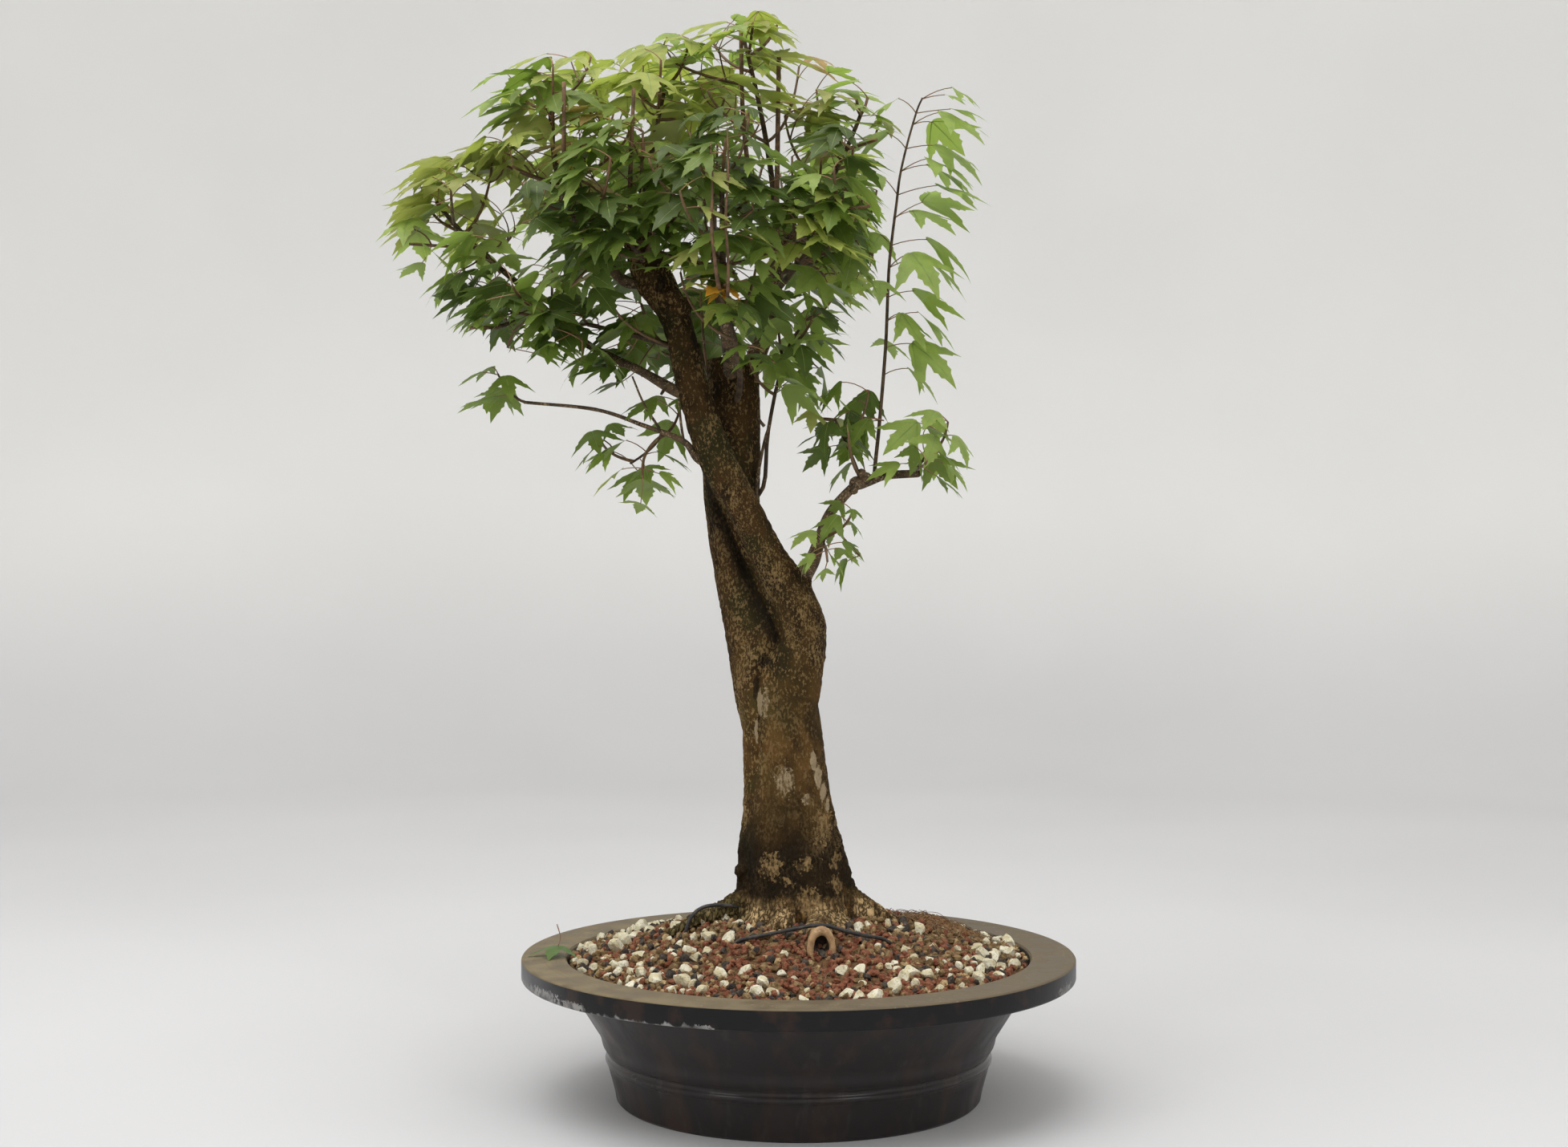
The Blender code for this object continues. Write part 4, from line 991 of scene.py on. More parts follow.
@dataclass(frozen=True)
class BarkFinish:
    """Old bark: brown with golden flecks, algae on the left side, a black band and pale scars low down,
    painted shade above the fork, and painted shadow beside the front stem and in hollows.
    """

    name: str = "old_bark"
    dark: tuple = (0.036, 0.02, 0.006)
    brown: tuple = (0.118, 0.062, 0.018)
    fleck: tuple = (0.335, 0.222, 0.094)
    algae: tuple = (0.062, 0.056, 0.016)
    # Black of the low band, also used as painted shadow beside the front stem and in the hollows
    black_and_shadow: tuple = (0.01, 0.007, 0.0035)
    tan: tuple = (0.34, 0.225, 0.1)
    scar: tuple = (0.4, 0.31, 0.19)
    foot: tuple = (0.68, 0.475, 0.235)
    moss: tuple = (0.165, 0.145, 0.058)
    crack_shade: tuple = (0.026, 0.016, 0.007)
    # Painted shade under the crown: what the bark above the fork is multiplied by
    shade: tuple = (0.46, 0.46, 0.46)
    tan_spots: tuple = (
        ((-0.0239, -0.045, 0.2032), (0.0095, 0.03, 0.011)),
        ((0.0055, -0.045, 0.2059), (0.0085, 0.03, 0.0062)),
        ((0.0213, -0.04, 0.2353), (0.009, 0.03, 0.017)), ((0.0322, -0.032, 0.2093), (0.0045, 0.03, 0.0065)),
        ((0.0329, -0.032, 0.1868), (0.005, 0.03, 0.009)), ((-0.0471, -0.01, 0.2456), (0.004, 0.04, 0.011)),
        ((0.0083, -0.048, 0.174), (0.011, 0.03, 0.012)), ((-0.01, -0.048, 0.189), (0.005, 0.02, 0.0035)),
        ((-0.03, 0.038, 0.25), (0.01, 0.03, 0.016)), ((0.015, 0.04, 0.21), (0.012, 0.03, 0.009)),
    )
    scars: tuple = (
        ((0.013, -0.036, 0.2935), (0.0034, 0.03, 0.01)), ((0.0172, -0.036, 0.2798), (0.004, 0.03, 0.011)),
        ((0.0215, -0.034, 0.266), (0.0038, 0.03, 0.01)), ((0.0254, -0.032, 0.2538), (0.0024, 0.03, 0.007)),
        ((-0.0362, -0.028, 0.318), (0.0017, 0.03, 0.012)), ((-0.0335, -0.028, 0.343), (0.0022, 0.03, 0.013)),
        ((0.01, 0.036, 0.3), (0.005, 0.03, 0.024)),
    )
    lichens: tuple = (
        ((-0.0123, -0.038, 0.2764), (0.009, 0.03, 0.012)), ((-0.0285, -0.032, 0.343), (0.0032, 0.02, 0.012)),
        ((0.006, -0.038, 0.26), (0.003, 0.02, 0.005)), ((-0.01, 0.038, 0.27), (0.009, 0.03, 0.01)),
    )
    speckled: tuple = (
        ((0.006, -0.036, 0.412), (0.019, 0.04, 0.034)), ((-0.022, -0.036, 0.464), (0.012, 0.04, 0.03)),
        ((-0.048, -0.004, 0.388), (0.011, 0.04, 0.034)), ((-0.05, -0.04, 0.52), (0.011, 0.04, 0.04)),
    )
    # Painted shade: dark spots in the hollows and crevices of trunk and stems
    shadowed_hollows: tuple = (
        ((-0.02, -0.04, 0.397), (0.0036, 0.03, 0.011)), ((-0.029, -0.036, 0.38), (0.0062, 0.03, 0.007)),
        ((-0.0366, -0.034, 0.356), (0.0026, 0.03, 0.013)), ((-0.118, -0.036, 0.701), (0.005, 0.02, 0.008)),
        ((-0.088, -0.03, 0.656), (0.005, 0.02, 0.008)),
        ((-0.044, -0.03, 0.257), (0.004, 0.02, 0.0055)),
    )

    def make(self, effects: SharedEffects) -> bpy.types.Material:
        """Builds the material.

        Args:
            effects: The shared node groups.

        Returns:
            The material.
        """
        coat = Coat(effects, self.name, 0.9, 0.15)
        grain = coat.squeezed(0.6)
        patches = coat.patches(grain, 55.0, 0.36, 0.62)
        flecks = coat.flecks(grain, 460.0, 0.66)
        furrowed = coat.stirred(coat.squeezed(0.34), 160.0, (0.01, 0.01, 0.01))
        cells = coat.node(
            "TexVoronoi", {"Vector": furrowed, "Scale": 230.0}, "Distance", feature="DISTANCE_TO_EDGE"
        )
        cracks = coat.band(cells, 0.02, 0.24, 0.12, 1.0)
        foot = coat.band(coat.height, 0.182, 0.166)
        colour = self.flaked(coat, self.flecked(coat, grain, patches, flecks), grain)
        mottled = coat.mix(patches, self.brown, self.foot)
        mottled = coat.mix(coat.band(coat.across, -0.036, -0.056, 0.0, 0.75), mottled, self.moss)
        # The foot's pale mottled plates, with dark cracks between them: partly the grooves' own colour,
        # partly painted shade in them
        colour = coat.mix(foot, colour, coat.mix(cracks, self.crack_shade, mottled))
        colour = self.spotted(coat, self.blackened_and_shadowed(coat, colour), grain)
        relief = flecks + coat.noise(grain, 700.0, 3.0) * 0.8 + cracks * (foot + 0.4)
        return coat.dress(colour, relief, 0.65, 0.0014)

    def flecked(self, coat: Coat, grain: Signal, patches: Signal, flecks: Signal) -> Signal:
        """Brown patches with algae at the left, painted shade from the crown above the fork, and golden
        flecks, fewer there.

        Args:
            coat: The bark's coat.
            grain: The place along the grain.
            patches: The soft patches of dark and brown.
            flecks: The ragged flecks.

        Returns:
            The colour.
        """
        across, height = coat.across, coat.height
        colour = coat.mix(patches, self.dark, self.brown)
        lean = coat.band(across, 0.01, -0.05)
        algae = coat.patches(coat.place, 14.0, 0.48, 0.62) * (lean * 0.6 + 0.15)
        colour = coat.mix(algae, colour, self.algae)
        # Painted shade: the bark above the fork is darkened where the crown shades it, and its flecks are
        # thinned to match
        crown_shaded = coat.mix(1.0, colour, self.shade, "MULTIPLY")
        colour = coat.mix(coat.band(height, 0.3, 0.43), colour, crown_shaded)
        calm = coat.band(height, 0.225, 0.26) * coat.band(height, 0.372, 0.335)
        calm = calm * coat.band(across, -0.036, -0.026, 0.0, 0.55)
        strength = coat.band(height, 0.32, 0.43, 0.75, 0.5) * (1.0 - calm)
        colour = coat.mix(flecks * strength, colour, self.fleck)
        fine = coat.flecks(grain, 760.0, 0.66)
        for middle, reach in self.speckled:
            colour = coat.mix(coat.spot(middle, reach, 1.6, 0.018) * fine * 0.46, colour, self.fleck)
        return colour

    def flaked(self, coat: Coat, colour: Signal, grain: Signal) -> Signal:
        """A dusky zone at the left over the black band, and tan flakes at the right.

        Args:
            coat: The bark's coat.
            colour: What they lie on.
            grain: The place along the grain.

        Returns:
            The colour.
        """
        across, height = coat.across, coat.height
        dusky = coat.band(height, 0.2, 0.222) * coat.band(height, 0.282, 0.244)
        colour = coat.mix(dusky * coat.band(across, 0.026, 0.004, 0.1, 0.62), colour, self.dark)
        zone = coat.band(height, 0.2, 0.225) * coat.band(height, 0.31, 0.255)
        flakes = coat.patches(grain, 210.0, 0.57, 0.63) * (zone * coat.band(across, 0.0, 0.024, 0.12, 0.62))
        return coat.mix(flakes, colour, self.tan)

    def blackened_and_shadowed(self, coat: Coat, colour: Signal) -> Signal:
        """The black band low down, and a painted shadow on the rear stem beside the front stem's left edge.

        Args:
            coat: The bark's coat.
            colour: What they lie on.

        Returns:
            The colour.
        """
        level = coat.height + (coat.noise(coat.place, 45.0, 3.0) - 0.5) * 0.045
        band = coat.band(level, 0.17, 0.182) * coat.band(level, 0.248, 0.214)
        colour = coat.mix(band * 0.86, colour, self.black_and_shadow)
        # Painted shadow: the rear stem darkened in a strip just left of the front stem's edge, where the
        # front stem shades it
        across = coat.vectors("DOT_PRODUCT", coat.vectors("SUBTRACT", coat.place, STEM_EDGE), STEM_EDGE_WAY)
        near = coat.band(across, -0.019, -0.004) * coat.band(across, 0.0016, -0.0006)
        front = coat.band(coat.depth, 0.012, 0.0) * coat.band(coat.height, 0.388, 0.402)
        return coat.mix(near * front * 0.84, colour, self.black_and_shadow)

    def spotted(self, coat: Coat, colour: Signal, grain: Signal) -> Signal:
        """The single spots: tan scales, scars, painted shade in hollows, and lichens.

        Args:
            coat: The bark's coat.
            colour: What they lie on.
            grain: The place along the grain.

        Returns:
            The colour.
        """
        worn = coat.band(coat.noise(grain, 380.0, 3.0, 0.6), 0.38, 0.62, 0.1, 0.8)
        kinds = (
            (self.tan_spots, 2.6, 0.018, worn, self.tan), (self.scars, 0.8, 0.004, 0.85, self.scar),
            (self.shadowed_hollows, 1.2, 0.006, 0.8, self.black_and_shadow), (self.lichens, 2.6, 0.006, worn, self.scar),
        )
        for spots, raggedness, wander, share, tint in kinds:
            for middle, reach in spots:
                colour = coat.mix(coat.spot(middle, reach, raggedness, wander) * share, colour, tint)
        return colour


@dataclass(frozen=True)
class TwigFinish:
    """Young bark: one colour darkening in patches, with fine pale dots."""

    name: str
    colour: tuple
    shade: tuple
    dots: tuple
    roughness: float = 0.6
    bump: float = 0.0004
    dotted: float = 0.4

    def make(self, effects: SharedEffects) -> bpy.types.Material:
        """Builds the material.

        Args:
            effects: The shared node groups.

        Returns:
            The material.
        """
        coat = Coat(effects, self.name, self.roughness)
        colour = coat.mix(coat.patches(coat.place, 120.0, 0.38, 0.6), self.shade, self.colour)
        colour = coat.mix(coat.flecks(coat.place, 600.0, self.dotted) * 0.8, colour, self.dots)
        return coat.dress(colour, coat.noise(coat.place, 500.0, 3.0), 0.5, self.bump)


@dataclass(frozen=True)
class LeafFinish:
    """A satin leaf in one plain tint, a little uneven, with a paler underside that is partly its own colour
    and partly painted light, and that lets some light through.
    """

    name: str
    colour: tuple
    roughness: float = 0.42
    body: float = 1.2
    underside: tuple = (0.24, 0.3, 0.13)
    paler: float = 0.3
    through: float = 0.42
    glow: tuple = (1.45, 1.6, 1.05)

    def make(self, effects: SharedEffects) -> bpy.types.Material:
        """Builds the material.

        Args:
            effects: The shared node groups.

        Returns:
            The material.
        """
        coat = Coat(effects, self.name, self.roughness, 0.4)
        patches = coat.patches(coat.place, 90.0, 0.35, 0.65)
        darker = tuple(0.82 * self.body * part for part in self.colour)
        lighter = tuple(1.1 * self.body * part for part in self.colour)
        # The underside is the leaf's paler colour brightened further: partly real, partly painted light
        # standing in for light coming through the blade
        pairs = zip(self.colour, self.underside)
        pale = tuple(part * 1.2 + (goal - part) * self.paler for part, goal in pairs)
        facing = coat.node("NewGeometry", {}, "Backfacing")
        colour = coat.mix(facing, coat.mix(patches, darker, lighter), coat.mix(patches, pale, lighter))
        least, most = self.roughness - 0.06, self.roughness + 0.1
        uneven = coat.band(coat.noise(coat.place, 60.0), 0.3, 0.7, least, most)
        coat.feed(coat.shader["Roughness"], uneven)
        self.let_light_through(coat)
        return coat.dress(colour, coat.noise(coat.place, 380.0), 0.25, 0.0006)

    def let_light_through(self, coat: Coat) -> None:
        """Blends in the yellower light that comes through the blade from behind.

        Args:
            coat: The leaf's coat.
        """
        veil = coat.node("BsdfTranslucent", {"Color": tuple(a * b for a, b in zip(self.colour, self.glow))})
        plain = Signal(coat, coat.tree.nodes["Principled BSDF"].outputs[0])
        blend = coat.node("MixShader", {0: self.through, 1: plain, 2: veil})
        coat.feed(coat.tree.nodes["Material Output"].inputs["Surface"], blend)


@dataclass(frozen=True)
class StoneFinish:
    """Grit of one kind: pitted, with painted shade in its pits, and a second colour in patches."""

    name: str
    colour: tuple
    second: tuple
    patch_scale: float = 160.0
    pit_scale: float = 700.0
    pits: float = 0.0012

    def make(self, effects: SharedEffects) -> bpy.types.Material:
        """Builds the material.

        Args:
            effects: The shared node groups.

        Returns:
            The material.
        """
        coat = Coat(effects, self.name, 0.92, 0.2)
        colour = coat.mix(coat.patches(coat.place, self.patch_scale, 0.4, 0.6), self.colour, self.second)
        pits = coat.noise(coat.place, self.pit_scale, 3.0, 0.6)
        # Painted shade: darker in the pits, where the bump is lowest
        deep = tuple(0.35 * part for part in self.colour)
        colour = coat.mix(coat.band(pits, 0.48, 0.34) * 0.5, colour, deep)
        return coat.dress(colour, pits, 0.7, self.pits)


@dataclass(frozen=True)
class PotFinish:
    """Satin charcoal of the pot's body, with reddish smears, rain streaks and tiny pale specks."""

    name: str = "pot_body"
    colour: tuple = (0.0205, 0.0175, 0.0172)
    smear: tuple = (0.052, 0.03, 0.022)
    dust: tuple = (0.08, 0.07, 0.064)
    speck: tuple = (0.42, 0.4, 0.36)

    def make(self, effects: SharedEffects) -> bpy.types.Material:
        """Builds the material.

        Args:
            effects: The shared node groups.

        Returns:
            The material.
        """
        coat = Coat(effects, self.name, 0.36, 0.3)
        upright = coat.squeezed(0.22)
        colour = coat.mix(coat.patches(upright, 26.0, 0.46, 0.66) * 0.6, self.colour, self.smear)
        colour = coat.mix(coat.patches(upright, 95.0, 0.56, 0.72) * 0.22, colour, self.dust)
        colour = coat.mix(coat.flecks(coat.place, 520.0, -0.2) * 0.5, colour, self.speck)
        uneven = coat.band(coat.noise(upright, 40.0, 4.0), 0.3, 0.7, 0.28, 0.46)
        step = coat.band(coat.height, 0.026, 0.033) * coat.band(coat.height, 0.05, 0.042)
        even = coat.maths("MULTIPLY_ADD", uneven, 1.0 - step, step * 0.27)
        coat.feed(coat.shader["Roughness"], even)
        return coat.dress(colour, coat.noise(coat.place, 160.0, 3.0), 0.09, 0.001)


@dataclass(frozen=True)
class LipFinish:
    """The weathered lip: olive-brown and matt on top with faint turned rings."""

    name: str = "pot_lip_top"
    colour: tuple = (0.228, 0.18, 0.106)
    shade: tuple = (0.14, 0.106, 0.058)
    greyer: tuple = (0.112, 0.086, 0.056)
    light: tuple = (0.3, 0.25, 0.16)

    def make(self, effects: SharedEffects) -> bpy.types.Material:
        """Builds the material.

        Args:
            effects: The shared node groups.

        Returns:
            The material.
        """
        coat = Coat(effects, self.name, 0.62, 0.25)
        length = coat.vectors("LENGTH", coat.squeezed(0.0))
        rings = coat.noise(coat.node("CombineXYZ", {0: length * 26.0}), 14.0, 3.0)
        patches = coat.patches(coat.place, 42.0, 0.36, 0.64)
        colour = coat.mix(patches, self.shade, self.colour)
        colour = coat.mix(coat.band(rings, 0.5, 0.66) * 0.55, colour, self.shade)
        colour = coat.mix(coat.band(coat.across, -0.2, 0.1, 0.0, 0.6), colour, self.greyer)
        colour = coat.mix(coat.flecks(coat.place, 260.0, 0.3) * 0.5, colour, self.light)
        coat.feed(coat.shader["Roughness"], coat.band(patches, 0.0, 1.0, 0.52, 0.7))
        return coat.dress(colour, coat.noise(coat.place, 210.0, 4.0), 0.22, 0.0008)


@dataclass(frozen=True)
class LipSideFinish:
    """The lip's upright side: blue-black with white lime drips, most at the left, and a painted grey sheen at
    both ends.
    """

    name: str = "pot_lip_side"
    colour: tuple = (0.008, 0.008, 0.009)
    brown: tuple = (0.06, 0.03, 0.017)
    grey: tuple = (0.15, 0.15, 0.16)
    lime: tuple = (0.48, 0.47, 0.45)
    blotches: tuple = (
        ((-0.0744, -0.228, 0.1075), (0.0085, 0.03, 0.0024)), ((-0.208, -0.12, 0.111), (0.014, 0.03, 0.0042)),
        ((-0.18, -0.158, 0.1095), (0.011, 0.03, 0.0032)), ((0.22, -0.095, 0.11), (0.008, 0.03, 0.005)),
        ((0.14, 0.195, 0.11), (0.02, 0.03, 0.004)), ((-0.1, 0.218, 0.112), (0.018, 0.03, 0.005)),
    )

    def make(self, effects: SharedEffects) -> bpy.types.Material:
        """Builds the material.

        Args:
            effects: The shared node groups.

        Returns:
            The material.
        """
        coat = Coat(effects, self.name, 0.42, 0.2)
        across = coat.across
        colour = coat.mix(coat.patches(coat.place, 34.0, 0.5, 0.66) * 0.35, self.colour, self.brown)
        # Painted sheen: the dark side turns greyer towards both ends, where it faces the side lights
        ends = coat.band(across, -0.17, -0.236, 0.0, 0.48) + coat.band(across, 0.205, 0.238, 0.0, 0.34)
        end_sheen = ends * coat.band(coat.noise(coat.place, 60.0, 3.0), 0.3, 0.7, 0.45, 1.0)
        colour = coat.mix(end_sheen, colour, self.grey)
        drips = coat.noise(coat.squeezed(0.3), 150.0, 4.0, 0.65)
        reach = coat.band(across, -0.15, -0.225, 0.003, 0.0085)
        rise = coat.maths("DIVIDE", coat.height - (POT_HEIGHT - LIP_DEPTH), reach)
        edge = coat.maths("MULTIPLY_ADD", drips, 4.4, -1.55)
        worn = coat.band(coat.noise(coat.place, 90.0, 3.0), 0.36, 0.62, 0.12, 0.62)
        share = coat.band(rise - edge, 0.15, -0.55) * (coat.band(across, -0.062, -0.09) * worn)
        for middle, spread in self.blotches:
            share = coat.maths("MAXIMUM", share, coat.spot(middle, spread, 3.4) * worn)
        colour = coat.mix(share, colour, self.lime)
        coat.feed(coat.shader["Roughness"], coat.band(share, 0.0, 1.0, 0.38, 0.85))
        return coat.dress(colour, drips, 0.2, 0.0006)


@dataclass(frozen=True)
class SleeveFinish:
    """The tie wire's dull black sleeve, dusty in places."""

    name: str = "tie_wire"
    colour: tuple = (0.016, 0.016, 0.017)
    dust: tuple = (0.075, 0.066, 0.055)

    def make(self, effects: SharedEffects) -> bpy.types.Material:
        """Builds the material.

        Args:
            effects: The shared node groups.

        Returns:
            The material.
        """
        coat = Coat(effects, self.name, 0.5)
        colour = coat.mix(coat.patches(coat.place, 150.0, 0.45, 0.7), self.colour, self.dust)
        return coat.dress(colour, coat.noise(coat.place, 500.0), 0.3, 0.0004)


@dataclass
class Pot:
    """The turned tray with its broad flat lip and drain holes."""

    effects: SharedEffects
    segments: int = 160
    body_steps: int = 4
    lip_round: float = 0.0022
    round_steps: int = 5

    def profile(self) -> list[tuple]:
        """Points (radius, height) of the whole section, from the foot's middle out, up and back in.

        Returns:
            The points.
        """
        body = [tuple(row) for row in smooth_line(POT_BODY, self.body_steps)]
        points = [(0.0, 0.0), (FOOT_RADIUS - 0.002, 0.0)]
        points += body
        under = POT_HEIGHT - LIP_DEPTH
        points += [(NECK_RADIUS + 0.0012, under + 0.0006), (LIP_RADIUS - 0.004, under + 0.0004)]
        for height, start in ((under + self.lip_round, -90), (POT_HEIGHT - self.lip_round, 0)):
            for step in range(self.round_steps + 1):
                angle = math.radians(start + 90 * step / self.round_steps)
                points.append((
                    LIP_RADIUS - self.lip_round + self.lip_round * math.cos(angle),
                    height + self.lip_round * math.sin(angle),
                ))
        inner = LIP_RADIUS - LIP_WIDTH
        points += [
            (LIP_RADIUS - 0.01, POT_HEIGHT - 0.0003), (inner + 0.01, POT_HEIGHT - 0.0004),
            (inner + 0.0015, POT_HEIGHT - 0.0006), (inner, POT_HEIGHT - 0.0022),
            (inner - 0.001, POT_HEIGHT - 0.008),
        ]
        points += list(POT_INSIDE) + [(0.0, FLOOR_THICKNESS)]
        return points

    def build(self) -> bpy.types.Object:
        """Spins the section, drills the drains and dresses the pot.

        Returns:
            The pot.
        """
        pot = spun("tray_pot", self.profile(), self.segments)
        self.drill(pot)
        take_up(pot)
        bpy.ops.object.shade_smooth_by_angle(angle=math.radians(35))
        finishes = [
            PotFinish().make(self.effects), LipFinish().make(self.effects),
            LipSideFinish().make(self.effects),
        ]
        hand_over(pot, finishes, ("pot",))
        self.deal_finishes(pot)
        return pot

    def drill(self, pot: bpy.types.Object) -> None:
        """Bores the drain holes through the floor.

        Args:
            pot: The pot.
        """
        for count in range(DRAIN_COUNT):
            angle = math.tau * (count + 0.5) / DRAIN_COUNT
            place = (DRAIN_RING * math.cos(angle), DRAIN_RING * math.sin(angle), FLOOR_THICKNESS / 2)
            bpy.ops.object.select_all(action="DESELECT")
            bpy.ops.mesh.primitive_cylinder_add(
                vertices=32, radius=DRAIN_RADIUS, depth=FLOOR_THICKNESS * 4, location=place
            )
            cutter = bpy.context.object
            apply_modifier(pot, "BOOLEAN", operation="DIFFERENCE", object=cutter, solver="EXACT")
            bpy.data.objects.remove(cutter)

    def deal_finishes(self, pot: bpy.types.Object) -> None:
        """Gives the lip's top and side their own finishes.

        Args:
            pot: The pot.
        """
        for face in pot.data.polygons:
            x, y, z = face.center
            radius = math.hypot(x, y)
            if radius > LIP_RADIUS - LIP_WIDTH - 0.0002 and z > POT_HEIGHT - 0.0024 and face.normal.z > 0.3:
                face.material_index = 1
            elif radius > LIP_RADIUS - 0.006 and z > POT_HEIGHT - LIP_DEPTH - 0.001:
                face.material_index = 2


@dataclass
class Stones:
    """A kind of grit: its finish, how many, their sizes, and how they are chipped, spaced and raised."""

    name: str
    finish: StoneFinish
    count: int
    least: float
    most: float
    subdivisions: int
    planes: int = 5
    gap: float = 0.0
    lift: float = 0.3


@dataclass
class Soil:
    """The soil's body, its loose grit and pumice, and a heap of fine roots and peat."""

    effects: SharedEffects
    rings: int = 56
    segments: int = 176
    inner: float = 0.048
    heap_place: tuple = (0.122, 0.03)
    heap_reach: tuple = (0.046, 0.036)
    heap_height: float = 0.01
    dip_place: tuple = (0.018, -0.12)
    grit: tuple = (
        Stones("grit_red", StoneFinish("red_lava", (0.19, 0.062, 0.034), (0.29, 0.125, 0.07)),
               1500, 0.0032, 0.0066, 1),
        Stones("grit_brown", StoneFinish("brown_lava", (0.15, 0.092, 0.042), (0.3, 0.205, 0.1)),
               1750, 0.003, 0.0068, 1),
        Stones("grit_tan", StoneFinish("tan_clay", (0.4, 0.27, 0.13), (0.5, 0.37, 0.2)),
               650, 0.003, 0.006, 1),
        Stones("grit_grey", StoneFinish("grey_lava", (0.045, 0.038, 0.033), (0.1, 0.082, 0.066)),
               620, 0.0036, 0.0078, 1),
        Stones("pumice", StoneFinish("pale_pumice", (0.64, 0.57, 0.37), (0.8, 0.76, 0.6), 110, 520, 0.001),
               262, 0.006, 0.013, 2, planes=10, gap=0.53, lift=0.26),
        Stones("peat_crumbs", StoneFinish("peat", (0.27, 0.155, 0.072), (0.16, 0.085, 0.038)),
               1500, 0.0016, 0.004, 1),
    )

    def ground(self, x: float, y: float) -> float:
        """The soil's height at a place, with the peat heap and a dip before the sawn root.

        Args:
            x: The place across.
            y: The place in depth.

        Returns:
            The height.
        """
        away = math.hypot((x - self.dip_place[0]) / 0.017, (y - self.dip_place[1]) / 0.014)
        rise = self.heap_height * self.heaped(x, y) - 0.0105 * math.exp(-away ** 2)
        return soil_height(math.hypot(x, y)) + rise

    def heaped(self, x: float, y: float) -> float:
        """How high the peat lies at a place: 1 on the heap's top, falling off to 0.

        Args:
            x: The place across.
            y: The place in depth.

        Returns:
            From 0 to 1.
        """
        across = (x - self.heap_place[0]) / self.heap_reach[0]
        deep = (y - self.heap_place[1]) / self.heap_reach[1]
        return math.exp(-1.6 * (across ** 2 + deep ** 2))

    def build(self) -> list[bpy.types.Object]:
        """Makes the body and all its grit.

        Returns:
            The pieces.
        """
        pieces = [self.build_body()]
        pieces += [self.build_stones(kind) for kind in self.grit]
        pieces.append(self.build_hairs())
        return pieces

    def build_body(self) -> bpy.types.Object:
        """The closed body of the soil, rough on top.

        Returns:
            The piece.
        """
        rim = 0.1988
        radii = np.linspace(0.002, rim, self.rings)
        angles = np.arange(self.segments) * (math.tau / self.segments)
        rows = []
        for radius in radii[::-1]:
            ring = [(radius * math.cos(a), radius * math.sin(a)) for a in angles]
            rows.append([(x, y, self.ground(x, y)) for x, y in ring])
        top = np.array(rows).reshape(-1, 3)
        rough = layered_noise(top * 260.0, 3, 5) - 0.5
        calm = np.clip((rim - np.hypot(top[:, 0], top[:, 1])) / 0.004, 0.0, 1.0)
        top[:, 2] += rough * 0.005 * calm
        wall = [(NECK_RADIUS - WALL_THICKNESS - 0.0006, POT_HEIGHT - LIP_DEPTH)]
        wall += [(radius - 0.0006, height) for radius, height in POT_INSIDE[1:3]]
        wall.append((POT_INSIDE[3][0] - 0.0006, FLOOR_THICKNESS + 0.0004))
        low = [[(r * math.cos(a), r * math.sin(a), h) for a in angles] for r, h in reversed(wall)]
        points = np.vstack([np.array(low).reshape(-1, 3), top])
        heap = Heap()
        heap.add(points, skin_faces(len(wall) + self.rings, self.segments))
        body = heap.make("soil_bed")
        finish = StoneFinish("fine_soil", (0.1, 0.052, 0.024), (0.2, 0.112, 0.054), 260.0, 900.0, 0.0016)
        return hand_over(body, [finish.make(self.effects)], ("soil",))

    def chipped(self, pebble: np.ndarray, planes: int, dice: np.random.Generator) -> np.ndarray:
        """The pebble with flats cut on it by random planes, as on a broken stone.

        Args:
            pebble: The round stone's points.
            planes: How many flats.
            dice: Random numbers.

        Returns:
            The points.
        """
        shape = pebble.copy()
        for _ in range(planes):
            way = unit(dice.normal(size=3))
            depth = dice.uniform(0.42, 0.78)
            shape -= np.clip(shape @ way - depth, 0, None)[:, None] * way
        return shape

    def build_stones(self, kind: Stones) -> bpy.types.Object:
        """Strews one kind of grit over the soil.

        Args:
            kind: The kind.

        Returns:
            The piece.
        """
        dice = np.random.default_rng([SEED, sum(map(ord, kind.name))])
        pebble, faces = ball((0, 0, 0), 1.0, kind.subdivisions)
        heap = Heap()
        laid = np.empty((0, 3))
        while len(laid) < kind.count:
            angle = dice.uniform(0, math.tau)
            radius = math.sqrt(dice.uniform(self.inner ** 2, 0.1975 ** 2))
            x, y = radius * math.cos(angle), radius * math.sin(angle)
            if dice.uniform() > self.readiness(kind.name, x, y):
                continue
            size = dice.uniform(kind.least, kind.most)
            if radius + size * 0.5 > 0.199:
                continue
            if kind.gap and len(laid):
                apart = np.hypot(laid[:, 0] - x, laid[:, 1] - y)
                if (apart < (laid[:, 2] + size) * kind.gap).any():
                    continue
            shape = self.chipped(pebble, kind.planes, dice) * dice.uniform(0.84, 1.24, 3) * size * 0.62
            turn = np.array(Matrix.Rotation(dice.uniform(0, math.tau), 3, Vector(dice.normal(size=3))))
            shape = shape @ turn.T
            z = self.ground(x, y) + size * (kind.lift + dice.uniform(-0.2, 0.16))
            heap.add(shape + (x, y, z), faces)
            laid = np.vstack([laid, (x, y, size)])
        piece = heap.make(kind.name, False)
        return hand_over(piece, [kind.finish.make(self.effects)])

